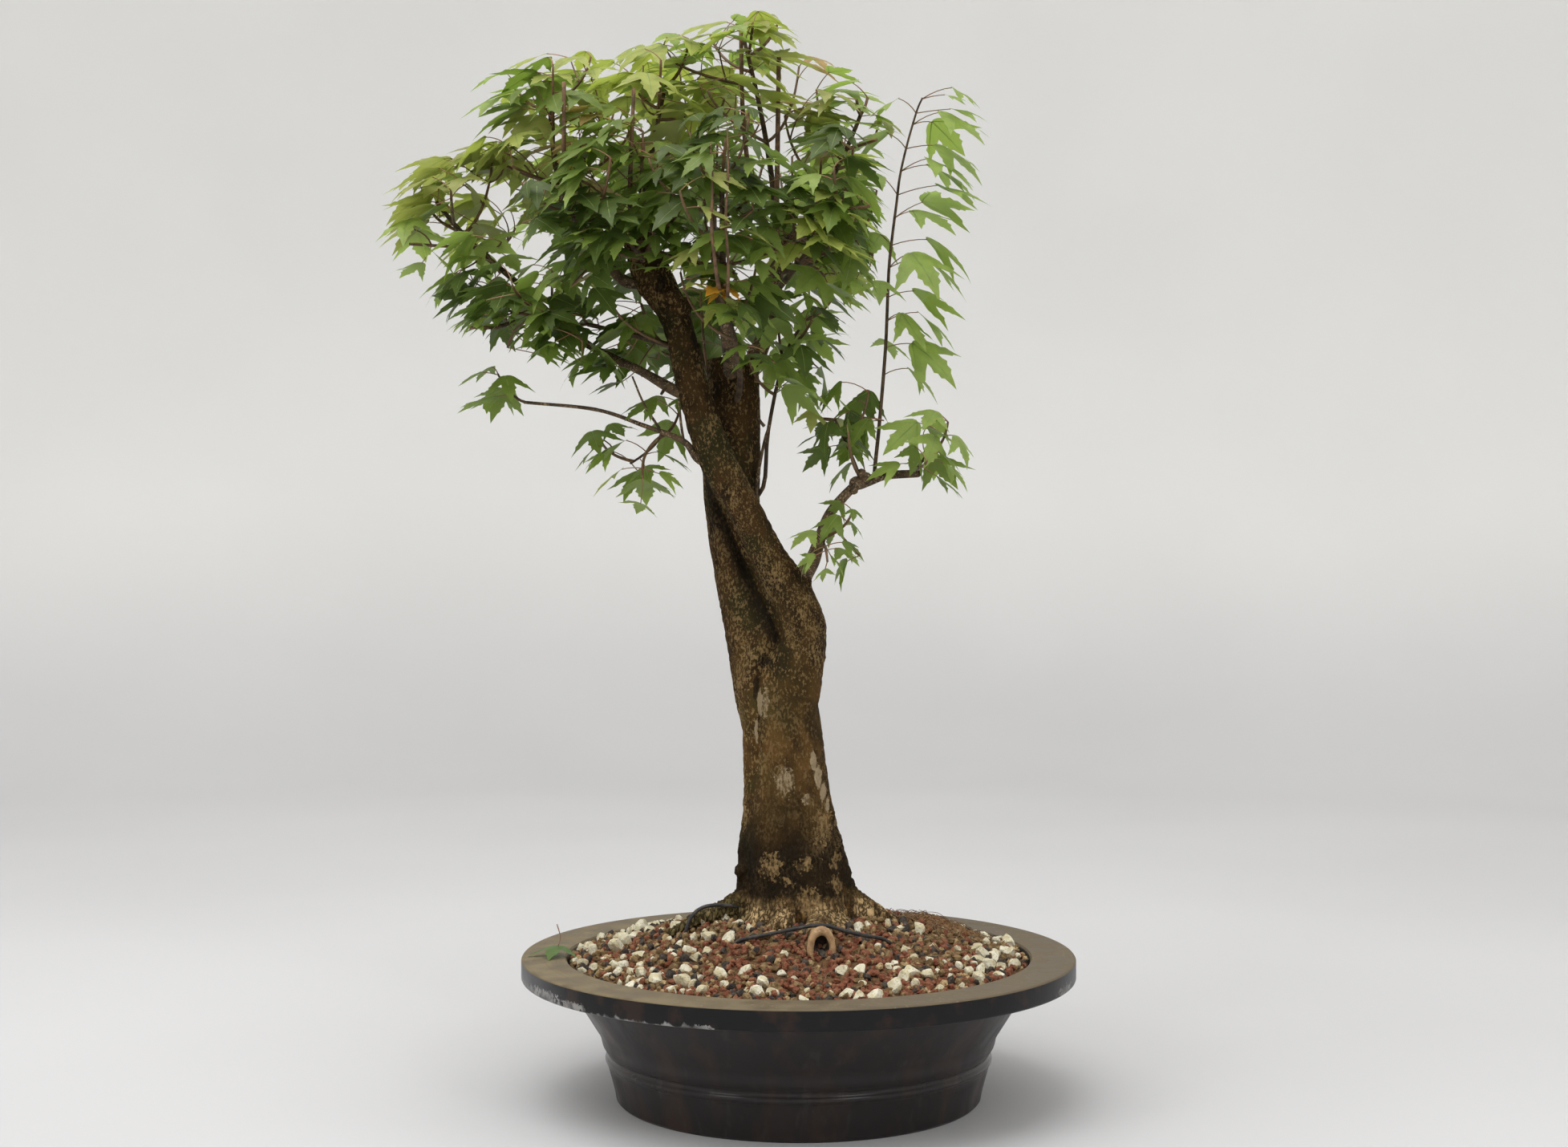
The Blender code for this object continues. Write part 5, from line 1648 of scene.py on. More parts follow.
    def readiness(self, name: str, x: float, y: float) -> float:
        """How readily a kind of grit lies at a place.

        Args:
            name: The grit's name.
            x: The place across.
            y: The place in depth.

        Returns:
            From 0 to 1: pumice most along the rim, red grit most in the front, and peat on the heap.
        """
        if name == "peat_crumbs":
            return min(1.0, 1.6 * self.heaped(x, y)) ** 2
        if name == "pumice" and math.hypot(x - self.dip_place[0], y - self.dip_place[1]) < 0.022:
            return 0.0
        off_peat = 1 - 0.96 * min(1.0, 1.6 * self.heaped(x, y))
        front = math.exp(-((x - 0.025) / 0.1) ** 2 - ((y + 0.14) / 0.06) ** 2)
        if name == "pumice":
            rim = 0.13 + 0.87 * max(0.0, (math.hypot(x, y) - 0.12) / 0.078) ** 1.4
            return rim * (1 - 0.6 * front) * off_peat
        if name == "grit_red":
            return (0.26 + 0.74 * front) * off_peat
        return (1 - 0.45 * front) * off_peat

    def build_hairs(self) -> bpy.types.Object:
        """Dry hair roots on the peat heap and here and there over the grit.

        Returns:
            The piece.
        """
        dice = random.Random(f"{SEED} hair roots")
        heap = Heap()
        for count in range(90):
            on_heap = count < 60
            spread = (0.026, 0.02) if on_heap else (0.1, 0.11)
            x = self.heap_place[0] * on_heap + dice.gauss(0, spread[0])
            y = self.heap_place[1] * on_heap + dice.gauss(0, spread[1])
            if not 0.07 < math.hypot(x, y) < 0.185:
                continue
            angle = dice.uniform(0, math.tau)
            stops = []
            for step in range(5):
                stops.append((x, y, self.ground(x, y) + dice.uniform(0.003, 0.0065), 0.0003))
                angle += dice.gauss(0, 0.6)
                x += 0.006 * math.cos(angle)
                y += 0.006 * math.sin(angle)
            heap.add(*tube(smooth_line(stops, 3), 4))
        finish = TwigFinish("hair_roots", (0.26, 0.16, 0.085), (0.12, 0.07, 0.036), (0.34, 0.24, 0.15))
        return hand_over(heap.make("hair_roots"), [finish.make(self.effects)])


@dataclass
class Trunk:
    """The trunk with both stems, one skin with the bark's relief."""

    effects: SharedEffects
    bark: bpy.types.Material
    trunk_corners: int = 72
    stem_corners: int = 40
    level_steps: int = 7
    voxel: float = 0.0016
    flute_width: float = 0.0085
    flute_depth: float = 0.0066
    stump_hollow: tuple = ((0.0006, 0.0185), (-0.0016, 0.015), (-0.009, 0.0125), (-0.017, 0.009))
    head: tuple = ((0.0006, 0.0105), (0.0002, 0.004))

    def butt(self) -> tuple[np.ndarray, list[tuple]]:
        """The flared butt with its root ridges.

        Returns:
            Points and faces.
        """
        rows = smooth_line(TRUNK_LEVELS, self.level_steps)
        angles = np.arange(self.trunk_corners) * (math.tau / self.trunk_corners)
        wave = np.cos(6 * angles) * (0.8 + 0.3 * np.cos(angles * 2 + 0.7)) + 0.25 * np.cos(11 * angles + 1.0)
        rings = []
        for height, middle, half_width, half_depth, ridges in rows:
            swell = 1 + ridges * wave
            rings.append(np.stack([
                middle + half_width * swell * np.cos(angles), half_depth * swell * np.sin(angles),
                np.full_like(angles, height),
            ], axis=1))
        return np.vstack(rings), skin_faces(len(rings), self.trunk_corners)

    def limb(self, stops: tuple, ending: tuple, seed: int) -> tuple[np.ndarray, list[tuple]]:
        """A stem whose girth swells and thins a little along its way.

        Args:
            stops: The stem's stops.
            ending: More rings past its top.
            seed: Which noise.

        Returns:
            Points and faces.
        """
        line = smooth_line(stops, 8)
        angles = np.arange(self.stem_corners) * (math.tau / self.stem_corners)
        turn = np.stack([np.cos(angles), np.sin(angles), np.zeros_like(angles)], axis=1) * 1.4
        places = (turn[None] + line[:, None, 2:3] * (0, 0, 22.0)).reshape(-1, 3)
        swell = 1 + 0.11 * (value_noise(places + seed * 5.3, seed).reshape(len(line), -1) - 0.5)
        return tube(line, self.stem_corners, ending, swell)

    def build(self) -> bpy.types.Object:
        """Joins butt, stems, roots and burrs, remeshes them and works the bark in.

        Returns:
            The piece.
        """
        heap = Heap()
        heap.add(*self.butt())
        heap.add(*self.limb(FRONT_STEM, self.head, 3))
        heap.add(*self.limb(REAR_STEM, self.stump_hollow, 4))
        for root in (*SURFACE_ROOTS, FORK_WEB):
            heap.add(*tube(smooth_line(root, 6), 16))
        for *place, radius in BURRS:
            heap.add(*ball(tuple(place), radius, 3))
        trunk = heap.make("trunk_with_bark")
        apply_modifier(trunk, "REMESH", mode="VOXEL", voxel_size=self.voxel, use_smooth_shade=True)
        apply_modifier(trunk, "SMOOTH", factor=0.5, iterations=5)
        self.work_bark(trunk)
        return hand_over(trunk, [self.bark], ("trunk", "front_stem", "rear_stem"))

    def work_bark(self, trunk: bpy.types.Object) -> None:
        """Moves the skin along its normals: lumps, upright furrows and flaking scales.

        Args:
            trunk: The joined skin.
        """
        mesh = trunk.data
        points = mesh_points(mesh)
        normals = np.empty(len(mesh.vertices) * 3)
        mesh.vertex_normals.foreach_get("vector", normals)
        normals = normals.reshape(-1, 3)
        lumps = layered_noise(points * 38.0, 2, 21) - 0.5
        upright = points * (260.0, 260.0, 75.0)
        furrows = 1 - np.abs(layered_noise(upright, 3, 31) * 2 - 1)
        scales = layered_noise(points * (420.0, 420.0, 240.0), 3, 41) - 0.5
        low = np.clip((0.3 - points[:, 2]) / 0.14, 0.0, 1.0)
        shift = lumps * (0.0016 + 0.0012 * low)
        shift -= np.clip(furrows - 0.72, 0, 1) * (0.0028 + 0.005 * low)
        shift += scales * (0.001 + 0.001 * low)
        shift -= self.flute_depth * self.near_flute(points)
        points += normals * shift[:, None]
        mesh.vertices.foreach_set("co", points.ravel())
        mesh.update()

    def near_flute(self, points: np.ndarray) -> np.ndarray:
        """How near each point on the front is to the groove: 1 on it, 0 past half its width.

        Args:
            points: The skin's points.

        Returns:
            From 0 to 1 for each point.
        """
        nearest = away_from(FLUTE, points[:, (0, 2)])
        fade = np.clip((points[:, 2] - FLUTE[-1][1] + 0.02) / 0.06, 0, 1)
        return np.clip(1 - nearest / self.flute_width, 0, 1) ** 1.5 * fade * (points[:, 1] < 0)


@dataclass
class Limbs:
    """The boughs, the bare twigs and the pruned sticks."""

    effects: SharedEffects
    corners: int = 16
    steps: int = 14
    knotted: str = "right_branch"

    def build(self) -> list[bpy.types.Object]:
        """Makes each bough a piece, and joins the sticks.

        Returns:
            The pieces.
        """
        young = TwigFinish(
            "young_bark", (0.105, 0.066, 0.031), (0.036, 0.022, 0.01), (0.36, 0.255, 0.145), 0.85, 0.001, 0.58
        ).make(self.effects)
        pieces = []
        for count, bough in enumerate(BOUGHS):
            heap = Heap()
            line = smooth_line(bough.stops, self.steps)
            rough = value_noise(line[:, :3] * 90.0, 50 + count) - 0.5
            line[:, 3] *= 1 + 0.16 * rough
            heap.add(*tube(line, self.corners))
            if bough.name == self.knotted:
                for *place, radius in KNOTS:
                    heap.add(*ball(tuple(place), radius, 2))
            pieces.append(hand_over(heap.make(bough.name + "_limb"), [young], (bough.name,)))
        tan = TwigFinish(
            "stick_skin", (0.18, 0.096, 0.048), (0.085, 0.046, 0.024), (0.33, 0.225, 0.135), 0.75
        ).make(self.effects)
        kinds = (("bare_twigs", BARE_TWIGS, young), ("pruned_sticks", PRUNED_STICKS, tan))
        for name, sticks, finish in kinds:
            heap = Heap()
            for stops in sticks:
                heap.add(*tube(smooth_line(stops, 6), 8))
            pieces.append(hand_over(heap.make(name), [finish]))
        return pieces


@dataclass
class CutRoot:
    """The sawn root: a stub with a callus ring round a dark hollow."""

    effects: SharedEffects
    bark: bpy.types.Material
    corners: int = 40
    tallness: float = 0.42
    hollow: tuple = (
        (0.0012, 0.0116), (0.003, 0.0112), (0.004, 0.0096), (0.0038, 0.0076), (0.0022, 0.006),
        (-0.001, 0.0052), (-0.008, 0.0046),
    )

    def build(self) -> bpy.types.Object:
        """Makes the stub.

        Returns:
            The piece.
        """
        line = smooth_line(CUT_ROOT, 12)
        heap = Heap()
        points, faces = tube(line, self.corners, self.hollow)
        noise = layered_noise(points * 210.0, 3, 61) - 0.5
        middle = line[-1, :3]
        spread = points - middle
        spread[:, 1] = 0
        lower = np.clip(-spread[:, 2] / 0.01, 0, 1)
        near = np.clip((middle[1] + 0.006 - points[:, 1]) / 0.006, 0, 1)
        away = spread / np.maximum(np.linalg.norm(spread, axis=1, keepdims=True), 1e-6)
        points = points + away * (noise * 0.0016 + lower * near * 0.0022)[:, None]
        points[:, 2] += near * (spread[:, 2] * self.tallness - 0.0006)
        heap.add(points, faces)
        stub = heap.make("sawn_root")
        callus = TwigFinish(
            "callus", (0.52, 0.33, 0.165), (0.34, 0.2, 0.098), (0.62, 0.46, 0.28), 0.7, 0.0012
        ).make(self.effects)
        heart = TwigFinish(
            "rotten_heart", (0.04, 0.022, 0.012), (0.016, 0.01, 0.006), (0.09, 0.05, 0.026), 0.9, 0.0012
        ).make(self.effects)
        hand_over(stub, [self.bark, callus, heart], ("cut_root",))
        stub_rows = len(line) + len(self.hollow)
        for face in stub.data.polygons:
            row = min(face.vertices) // self.corners
            if row >= stub_rows - 3:
                face.material_index = 2
            elif row >= len(line) - 3:
                face.material_index = 1
        return stub


@dataclass
class TieWires:
    """The black tie wires that hold the tree in its pot."""

    effects: SharedEffects
    radius: float = 0.0016
    runs: tuple = (
        ((-0.056, -0.086, 0.144), (-0.048, -0.088, 0.15), (-0.026, -0.094, 0.1555),
         (-0.005, -0.097, 0.1605), (0.011, -0.098, 0.1635), (0.023, -0.096, 0.163),
         (0.04, -0.092, 0.1575), (0.056, -0.086, 0.153), (0.07, -0.078, 0.149),
         (0.08, -0.072, 0.142)),
        ((-0.0985, -0.034, 0.138), (-0.0965, -0.033, 0.148), (-0.0935, -0.031, 0.157),
         (-0.088, -0.029, 0.164), (-0.08, -0.027, 0.168), (-0.07, -0.025, 0.169),
         (-0.06, -0.022, 0.168), (-0.052, -0.018, 0.166)),
    )

    def build(self) -> bpy.types.Object:
        """Makes both wires one piece.

        Returns:
            The piece.
        """
        heap = Heap()
        for run in self.runs:
            line = smooth_line(tuple((*place, self.radius) for place in run), 8)
            heap.add(*tube(line, 12))
        return hand_over(heap.make("tie_wires"), [SleeveFinish().make(self.effects)])


@dataclass
class LeafShape:
    """One lay of the three-lobed blade, with its length as one: outline, veins and how it droops."""

    tip_droop: float
    lobe_droop: float
    wave: float
    lobe_turn: float
    outline: tuple = (
        (-0.015, 0.045), (0.02, 0.125), (0.095, 0.205), (0.19, 0.27), (0.285, 0.36), (0.36, 0.385),
        (0.415, 0.46), (0.505, 0.48), (0.7, 0.62), (0.595, 0.44), (0.6, 0.39), (0.5, 0.28),
        (0.43, 0.165), (0.52, 0.165), (0.6, 0.2), (0.65, 0.14), (0.735, 0.15), (0.775, 0.092),
        (0.88, 0.052),
    )
    rib_points: tuple = ((0.12, 0.0), (0.3, 0.0), (0.5, 0.0), (0.72, 0.0))
    side_points: tuple = ((0.17, 0.13), (0.38, 0.315))
    points: np.ndarray = field(init=False)
    faces: list = field(init=False)
    ribs: np.ndarray = field(init=False)
    rib_faces: list = field(init=False)

    def __post_init__(self) -> None:
        """Fills the outline with faces and bends it."""
        half = [self.turned(point) for point in self.outline]
        ring = [(0.0, 0.0)] + half + [(1.0, 0.0)] + [(x, -y) for x, y in reversed(half)]
        inner = list(self.rib_points)
        for point in self.side_points:
            x, y = self.turned(point)
            inner += [(x, y), (x, -y)]
        flat = [Vector(point) for point in ring + inner]
        found = delaunay_2d_cdt(flat, [], [list(range(len(ring)))], 1, 1e-6)
        outline = np.array([(point.x, point.y) for point in found[0]])
        self.faces = [tuple(face) for face in found[2]]
        self.points = self.bent(outline)
        self.ribs, self.rib_faces = self.veins()

    def turned(self, point: tuple) -> tuple:
        """The side lobe's part of the outline, swung a little forward or back.

        Args:
            point: A point of the outline.

        Returns:
            Where it comes to lie.
        """
        x, y = point
        share = min(1.0, max(0.0, (math.atan2(y, x + 0.15) - 0.3) / 0.3))
        angle = self.lobe_turn * share
        return x * math.cos(angle) - y * math.sin(angle), x * math.sin(angle) + y * math.cos(angle)

    def bent(self, flat: np.ndarray) -> np.ndarray:
        """Lifts and droops flat points: tips and lobes hang, the blade swells between its veins.

        Args:
            flat: Rows of x and y.

        Returns:
            Rows of x, y and z.
        """
        x, y = flat[:, 0], np.abs(flat[:, 1])
        vein = math.radians(43) + self.lobe_turn
        off_side = np.abs(x * math.sin(vein) - y * math.cos(vein))
        off_vein = np.minimum(y, off_side)
        z = 0.2 * off_vein - self.tip_droop * np.clip(x, 0, None) ** 2.2 - self.lobe_droop * y ** 1.6
        z += self.wave * np.sin(x * 9.0 + flat[:, 1] * 5.0) * y
        return np.stack([x, flat[:, 1], z], axis=1)

    def veins(self) -> tuple[np.ndarray, list[tuple]]:
        """Narrow ribbons along the midrib and the two side veins, just over the blade.

        Returns:
            Points and faces.
        """
        points, faces = [], []
        vein = math.radians(43) + self.lobe_turn
        side = (0.675 * math.cos(vein), 0.675 * math.sin(vein))
        for end in ((0.9, 0.0), side, (side[0], -side[1])):
            way = unit(np.array(end))
            across = np.array((-way[1], way[0]))
            start = len(points)
            for share, width in ((0.0, 0.0115), (0.4, 0.0085), (0.75, 0.0055), (1.0, 0.002)):
                middle = np.array(end) * share
                points += [middle + across * width, middle - across * width]
            for step in range(3):
                low = start + step * 2
                faces += [(low + 1, low + 3, low + 2, low)]
        bent = self.bent(np.array(points))
        bent[:, 2] += 0.0055
        return bent, faces


@dataclass
class Twig:
    """A twig, kept only as far as its furthest leaf: its rows, its girth's corners and what it grows on."""

    line: np.ndarray
    corners: int
    parent: "Twig | None" = None
    start: float = 0.0
    needed: float = 0.0

    def along(self) -> np.ndarray:
        """How far along the twig each row lies."""
        steps = np.linalg.norm(np.diff(self.line[:, :3], axis=0), axis=1)
        return np.concatenate([[0.0], np.cumsum(steps)])

    def hold(self, distance: float) -> None:
        """Keeps the twig at least this far, and what carries it as far as its own start.

        Args:
            distance: How far along the twig.
        """
        self.needed = max(self.needed, distance)
        if self.parent:
            self.parent.hold(self.start)

    def kept(self) -> np.ndarray:
        """The rows up to the furthest leaf.

        Returns:
            Rows of x, y, z and radius.
        """
        along = self.along()
        end = [np.interp(self.needed, along, self.line[:, column]) for column in range(4)]
        return np.vstack([self.line[along < self.needed - 0.0005], end])


@dataclass(frozen=True)
class Seat:
    """Where a leaf may grow: its node's place, its way out, the tint of its spray, its size and its twig."""

    place: np.ndarray
    out: np.ndarray
    tint: Tint
    size: float
    twig: Twig
    distance: float


@dataclass
class Crown:
    """Grows every mass again, with finer twigs and single stalked leaves."""

    effects: SharedEffects
    limbs: list[bpy.types.Object]
    petiole_corners: int = 3
    petiole_radii: tuple = (0.00062, 0.00045)
    shoot_radii: tuple = (0.0016, 0.001)
    side_radii: tuple = (0.001, 0.0007)
    blade: float = 0.0465
    sizes: tuple = (1.08, 0.96, 0.84, 0.72)
    tip_sizes: tuple = (0.7, 0.86)
    tip_spacing: float = 0.012
    shoot_reach: float = 0.92
    leaves_per_shoot: float = 2.55
    node_spacing: float = 0.0225
    bare_share: float = 0.2
    stem_bare_share: float = 0.35
    wand_bare_share: float = 0.24
    side_twig_share: float = 0.4
    side_twig_reach: float = 0.034
    shoot_rise: float = 0.6
    upward: float = 0.28
    same_tint: float = 0.9
    cell: float = 0.06
    edge: float = 0.7
    least_outward: float = -0.1
    heart: tuple = (-0.09, 0.0, 0.735)
    limb_gap: float = 0.0025
    test_points: tuple = ((1.0, 0, -0.15), (0.6, 0.58, -0.12), (0.6, -0.58, -0.12), (0.4, 0, 0))
    coarse_points: tuple = (
        (0.06, 0, 0.0), (0.55, 0.5, -0.1), (0.44, 0.16, -0.02), (0.9, 0, -0.14), (0.44, -0.16, -0.02),
        (0.55, -0.5, -0.1),
    )
    coarse_faces: tuple = ((0, 1, 2), (0, 2, 3), (0, 3, 4), (0, 4, 5))
    grown: int = 0
    leaves: dict[Tint, Heap] = field(init=False)
    veins: Heap = field(default_factory=Heap)
    petioles: Heap = field(default_factory=Heap)
    wood: Heap = field(default_factory=Heap)
    green_wood: Heap = field(default_factory=Heap)
    cells: dict[tuple, list] = field(default_factory=dict)
    twigs: list[Twig] = field(default_factory=list)

    def __post_init__(self) -> None:
        """Finds where the limbs are, which twigs and leaves keep clear of, and lays out the leaf shapes."""
        graph = bpy.context.evaluated_depsgraph_get()
        self.trees = [BVHTree.FromObject(limb, graph) for limb in self.limbs]
        self.shapes = [
            LeafShape(0.14, 0.14, 0.03, 0.0), LeafShape(0.24, 0.22, -0.04, 0.08),
            LeafShape(0.06, 0.28, 0.045, -0.07), LeafShape(0.18, 0.06, -0.03, -0.03),
            LeafShape(0.3, 0.26, 0.035, 0.05), LeafShape(0.1, 0.18, -0.045, 0.11),
        ]
        self.leaves = {tint: Heap() for tint in Tint}

    def depth_in(self, mass: Mass, points: np.ndarray) -> np.ndarray:
        """How far out in the mass's space the points lie: 0 at its middle, 1 at its surface."""
        return np.linalg.norm((points - np.array(mass.centre)) / np.array(mass.radii), axis=-1)

    def clear_of_limbs(self, points: np.ndarray, clearance: float) -> bool:
        """Whether all the points keep their distance from every limb.

        Args:
            points: The points.
            clearance: The least distance.

        Returns:
            Whether they do.
        """
        return all(
            tree.find_nearest(Vector(point), clearance)[0] is None for tree in self.trees for point in points
        )

    def stem_line(self, mass: Mass) -> np.ndarray:
        """The mass's stem, from its anchor through its path or just past its middle.

        Args:
            mass: The mass.

        Returns:
            Rows of x, y, z and radius.
        """
        first, last = mass.stem
        anchor = np.array(mass.anchor)
        if mass.path:
            count = len(mass.path)
            stops = [(*mass.anchor, first)]
            for step, point in enumerate(mass.path, 1):
                stops.append((*point, first + (last - first) * step / count))
            return smooth_line(tuple(stops), 4)
        centre = np.array(mass.centre)
        end = centre + unit(centre - anchor) * min(mass.radii) * 0.35
        bend = anchor + unit(np.array(mass.out, float)) * np.linalg.norm(end - anchor) * 0.4
        return self.bowed(anchor, bend, end, mass.stem, 16)

    def bowed(
        self, start: np.ndarray, bend: np.ndarray, end: np.ndarray, radii: tuple, steps: int
    ) -> np.ndarray:
        """A tapering line from start to end, drawn towards the bend.

        Args:
            start: Its start.
            bend: What it is drawn to.
            end: Its end.
            radii: Its first and last radius.
            steps: How many steps it has.

        Returns:
            Rows of x, y, z and radius.
        """
        share = (np.arange(steps + 1) / steps)[:, None]
        places = start * (1 - share) ** 2 + bend * 2 * share * (1 - share) + end * share ** 2
        taper = radii[0] + (radii[1] - radii[0]) * share
        return np.hstack([places, taper])

    def spread_ways(self, count: int) -> np.ndarray:
        """Directions spread evenly over a sphere.

        Args:
            count: How many.

        Returns:
            One unit vector in each row.
        """
        steps = np.arange(count)
        height = 1 - (2 * steps + 1) / count
        around = steps * math.pi * (3 - math.sqrt(5))
        flat = np.sqrt(1 - height ** 2)
        return np.stack([flat * np.cos(around), flat * np.sin(around), height], axis=1)

    def branch_off(self, stem: np.ndarray, target: np.ndarray) -> tuple[np.ndarray, np.ndarray]:
        """Where on the stem a shoot to the target starts, and which way it sets out.

        Args:
            stem: The stem's rows.
            target: The shoot's end.

        Returns:
            The place and the direction.
        """
        along = carried_frames(stem[:, :3])[0]
        ways = target - stem[:, :3]
        lengths = np.linalg.norm(ways, axis=1)
        leans = np.sum(ways * along, axis=1) / np.maximum(lengths, 1e-9)
        costs = lengths * (1.6 - leans)
        costs[: max(1, len(stem) // 5)] = 9
        best = int(np.argmin(costs))
        return stem[best, :3], unit(unit(ways[best]) + along[best] * 0.6)

    def within_outline(self, mass: Mass, points: np.ndarray) -> bool:
        """Whether the points stay inside the photo's outline and out of its open view of the front stem.

        Args:
            mass: The mass that they belong to.
            points: The points.

        Returns:
            Whether they all do.
        """
        if points[:, 2].max() > TOP_EDGE:
            return False
        if mass.name in OUTLYING:
            return True
        eye = np.array(CAMERA_PLACE)
        ways = (points - eye) / (points[:, 1:2] - eye[1])
        x, z = (eye - ways * eye[1])[:, (0, 2)].T
        top, right, low = np.array(TOP_LINE), np.array(RIGHT_LINE), np.array(LOW_LINE)
        if (z > np.interp(x, top[:, 0], top[:, 1])).any() or (z < np.interp(x, low[:, 0], low[:, 1])).any():
            return False
        if (x > np.interp(z, right[:, 0], right[:, 1])).any():
            return False
        flat = (eye + ways * (OPEN_VIEW_DEPTH - eye[1]))[points[:, 1] < OPEN_VIEW_DEPTH][:, (0, 2)]
        return not (away_from(OPEN_VIEW, flat) < OPEN_VIEW_WIDTH).any()

    def kept_part(self, mass: Mass, line: np.ndarray, clearance: float) -> np.ndarray:
        """The line as far as it stays in the mass's space and clear of the limbs.

        Args:
            mass: The mass.
            line: Rows of x, y, z and radius.
            clearance: The least distance from a limb.

        Returns:
            The first rows, as many as stay.
        """
        depths = self.depth_in(mass, line[:, :3])
        kept = 1
        while kept < len(line):
            here = line[kept: kept + 1, :3]
            if depths[kept] > 0.96 or not self.within_outline(mass, here):
                break
            if not self.clear_of_limbs(here, clearance):
                break
            kept += 1
        return line[:kept]

    def grow(self) -> None:
        """Grows all masses."""
        for mass in MASSES:
            before = self.grown
            self.grow_mass(mass)
            LOG.info("%s: %d leaves", mass.name, self.grown - before)

    def grow_mass(self, mass: Mass) -> None:
        """Grows one mass: its stem, its shoots with their side twigs, and the leaves, outermost first.

        Args:
            mass: The mass.
        """
        dice = random.Random(f"{SEED} {mass.name}")
        stem = self.stem_line(mass)
        self.wood.add(*tube(stem, 8))
        self.twigs = []
        shares = TINT_SHARES.get(mass.name, PLAIN_SHARES)
        bare = self.wand_bare_share if mass.habit is Habit.WAND else self.stem_bare_share
        seats = self.seats_along(mass, Twig(stem, 8), dice, shares, bare)
        if mass.habit is Habit.BUSHY:
            for line in self.shoot_lines(mass, stem):
                shoot = Twig(line, 5)
                self.twigs.append(shoot)
                seats += self.seats_along(mass, shoot, dice, shares, self.bare_share, True)
        seats.sort(key=lambda seat: -float(self.depth_in(mass, seat.place)))
        for seat in seats:
            if self.first_fit(mass, seat, dice):
                seat.twig.hold(seat.distance)
        for twig in self.twigs:
            if twig.needed > 0.004:
                self.green_wood.add(*tube(twig.kept(), twig.corners))

    def shoot_lines(self, mass: Mass, stem: np.ndarray) -> list[np.ndarray]:
        """Shoots from the stem to all sides of the mass's space, those to its upper half ending upright.

        Args:
            mass: The mass.
            stem: Its stem's rows.

        Returns:
            Rows of x, y, z and radius for each shoot.
        """
        lines = []
        count = max(3, round(mass.leaves / self.leaves_per_shoot))
        centre = np.array(mass.centre)
        for way in self.spread_ways(count):
            way = unit(way + (0, 0, self.upward))
            target = centre + way * np.array(mass.radii) * self.shoot_reach
            start, heading = self.branch_off(stem, target)
            length = float(np.linalg.norm(target - start))
            bend = start + unit(heading + (0, 0, self.shoot_rise)) * length * 0.48
            if target[2] > start[2]:
                bend[:2] = start[:2] + (target[:2] - start[:2]) * 0.85
                bend[2] = start[2] + (target[2] - start[2]) * 0.25
            line = self.kept_part(mass, self.bowed(start, bend, target, self.shoot_radii, 10), 0.003)
            if len(line) >= 4:
                lines.append(line)
        return lines

    def seats_along(
        self, mass: Mass, twig: Twig, dice: random.Random, shares: tuple, bare: float, branching: bool = False
    ) -> list[Seat]:
        """Opposite pairs of seats along a twig, crossed from node to node and closer at its tip.

        Args:
            mass: The mass that the twig belongs to.
            twig: The twig.
            dice: The mass's own random numbers.
            shares: How the mass's tints are shared out.
            bare: The share of the twig that carries no leaves at its foot.
            branching: Whether some nodes carry a side twig in place of a leaf.

        Returns:
            The seats, with those of the side twigs.
        """
        line, along = twig.line, twig.along()
        total = along[-1]
        ways = carried_frames(line[:, :3])[0]
        tint = dice.choices(list(Tint), weights=shares)[0]
        seats = []
        distance, pair = total - 0.001, 0
        first = dice.uniform(0, math.pi)
        while distance > total * bare:
            place = np.array([np.interp(distance, along, line[:, axis]) for axis in range(3)])
            way = ways[int(np.searchsorted(along, distance).clip(1, len(ways) - 1))]
            flat = unit(np.cross(way, (0, 0, 1)) + 1e-6)
            up = np.cross(flat, way)
            angle = first + pair * math.pi / 2
            side = flat * math.cos(angle) + up * math.sin(angle)
            at_tip = pair < len(self.tip_sizes)
            size = self.tip_sizes[pair] if at_tip else 1.0
            for sign in (1, -1):
                out = unit(side * sign + way * 0.35)
                same = dice.random() < self.same_tint
                dealt = tint if same else dice.choices(list(Tint), weights=shares)[0]
                if branching and not at_tip and dice.random() < self.side_twig_share:
                    seats += self.side_twig(mass, Seat(place, out, dealt, size, twig, distance), way, dice)
                else:
                    seats.append(Seat(place, out, dealt, size, twig, distance))
            distance -= (self.tip_spacing if at_tip else self.node_spacing) * dice.uniform(0.85, 1.15)
            pair += 1
        return seats

    def side_twig(self, mass: Mass, seat: Seat, way: np.ndarray, dice: random.Random) -> list[Seat]:
        """A short side twig in place of the seat's leaf, with a pair of leaves and one at its tip.

        Args:
            mass: The mass.
            seat: The leaf's seat.
            way: The way that the shoot runs there.
            dice: The mass's own random numbers.

        Returns:
            The twig's seats, or the old one if none fits.
        """
        reach = self.side_twig_reach * dice.uniform(0.6, 1.2)
        outward = unit(seat.place - self.heart)
        end = seat.place + unit(seat.out + outward * 0.8 + way * 0.3) * reach
        bend = seat.place + seat.out * reach * 0.5
        line = self.kept_part(mass, self.bowed(seat.place, bend, end, self.side_radii, 5), 0.002)
        if len(line) < 3:
            return [seat]
        twig = Twig(line, 4, seat.twig, seat.distance)
        self.twigs.append(twig)
        tip, total = line[-1, :3], twig.along()[-1]
        heading = unit(tip - line[-2, :3])
        across = unit(np.cross(heading, (0.2, 0.1, 1.0)))
        outs = (heading, unit(across + heading * 0.3), unit(heading * 0.3 - across))
        return [Seat(tip, out, seat.tint, 0.92, twig, total) for out in outs]

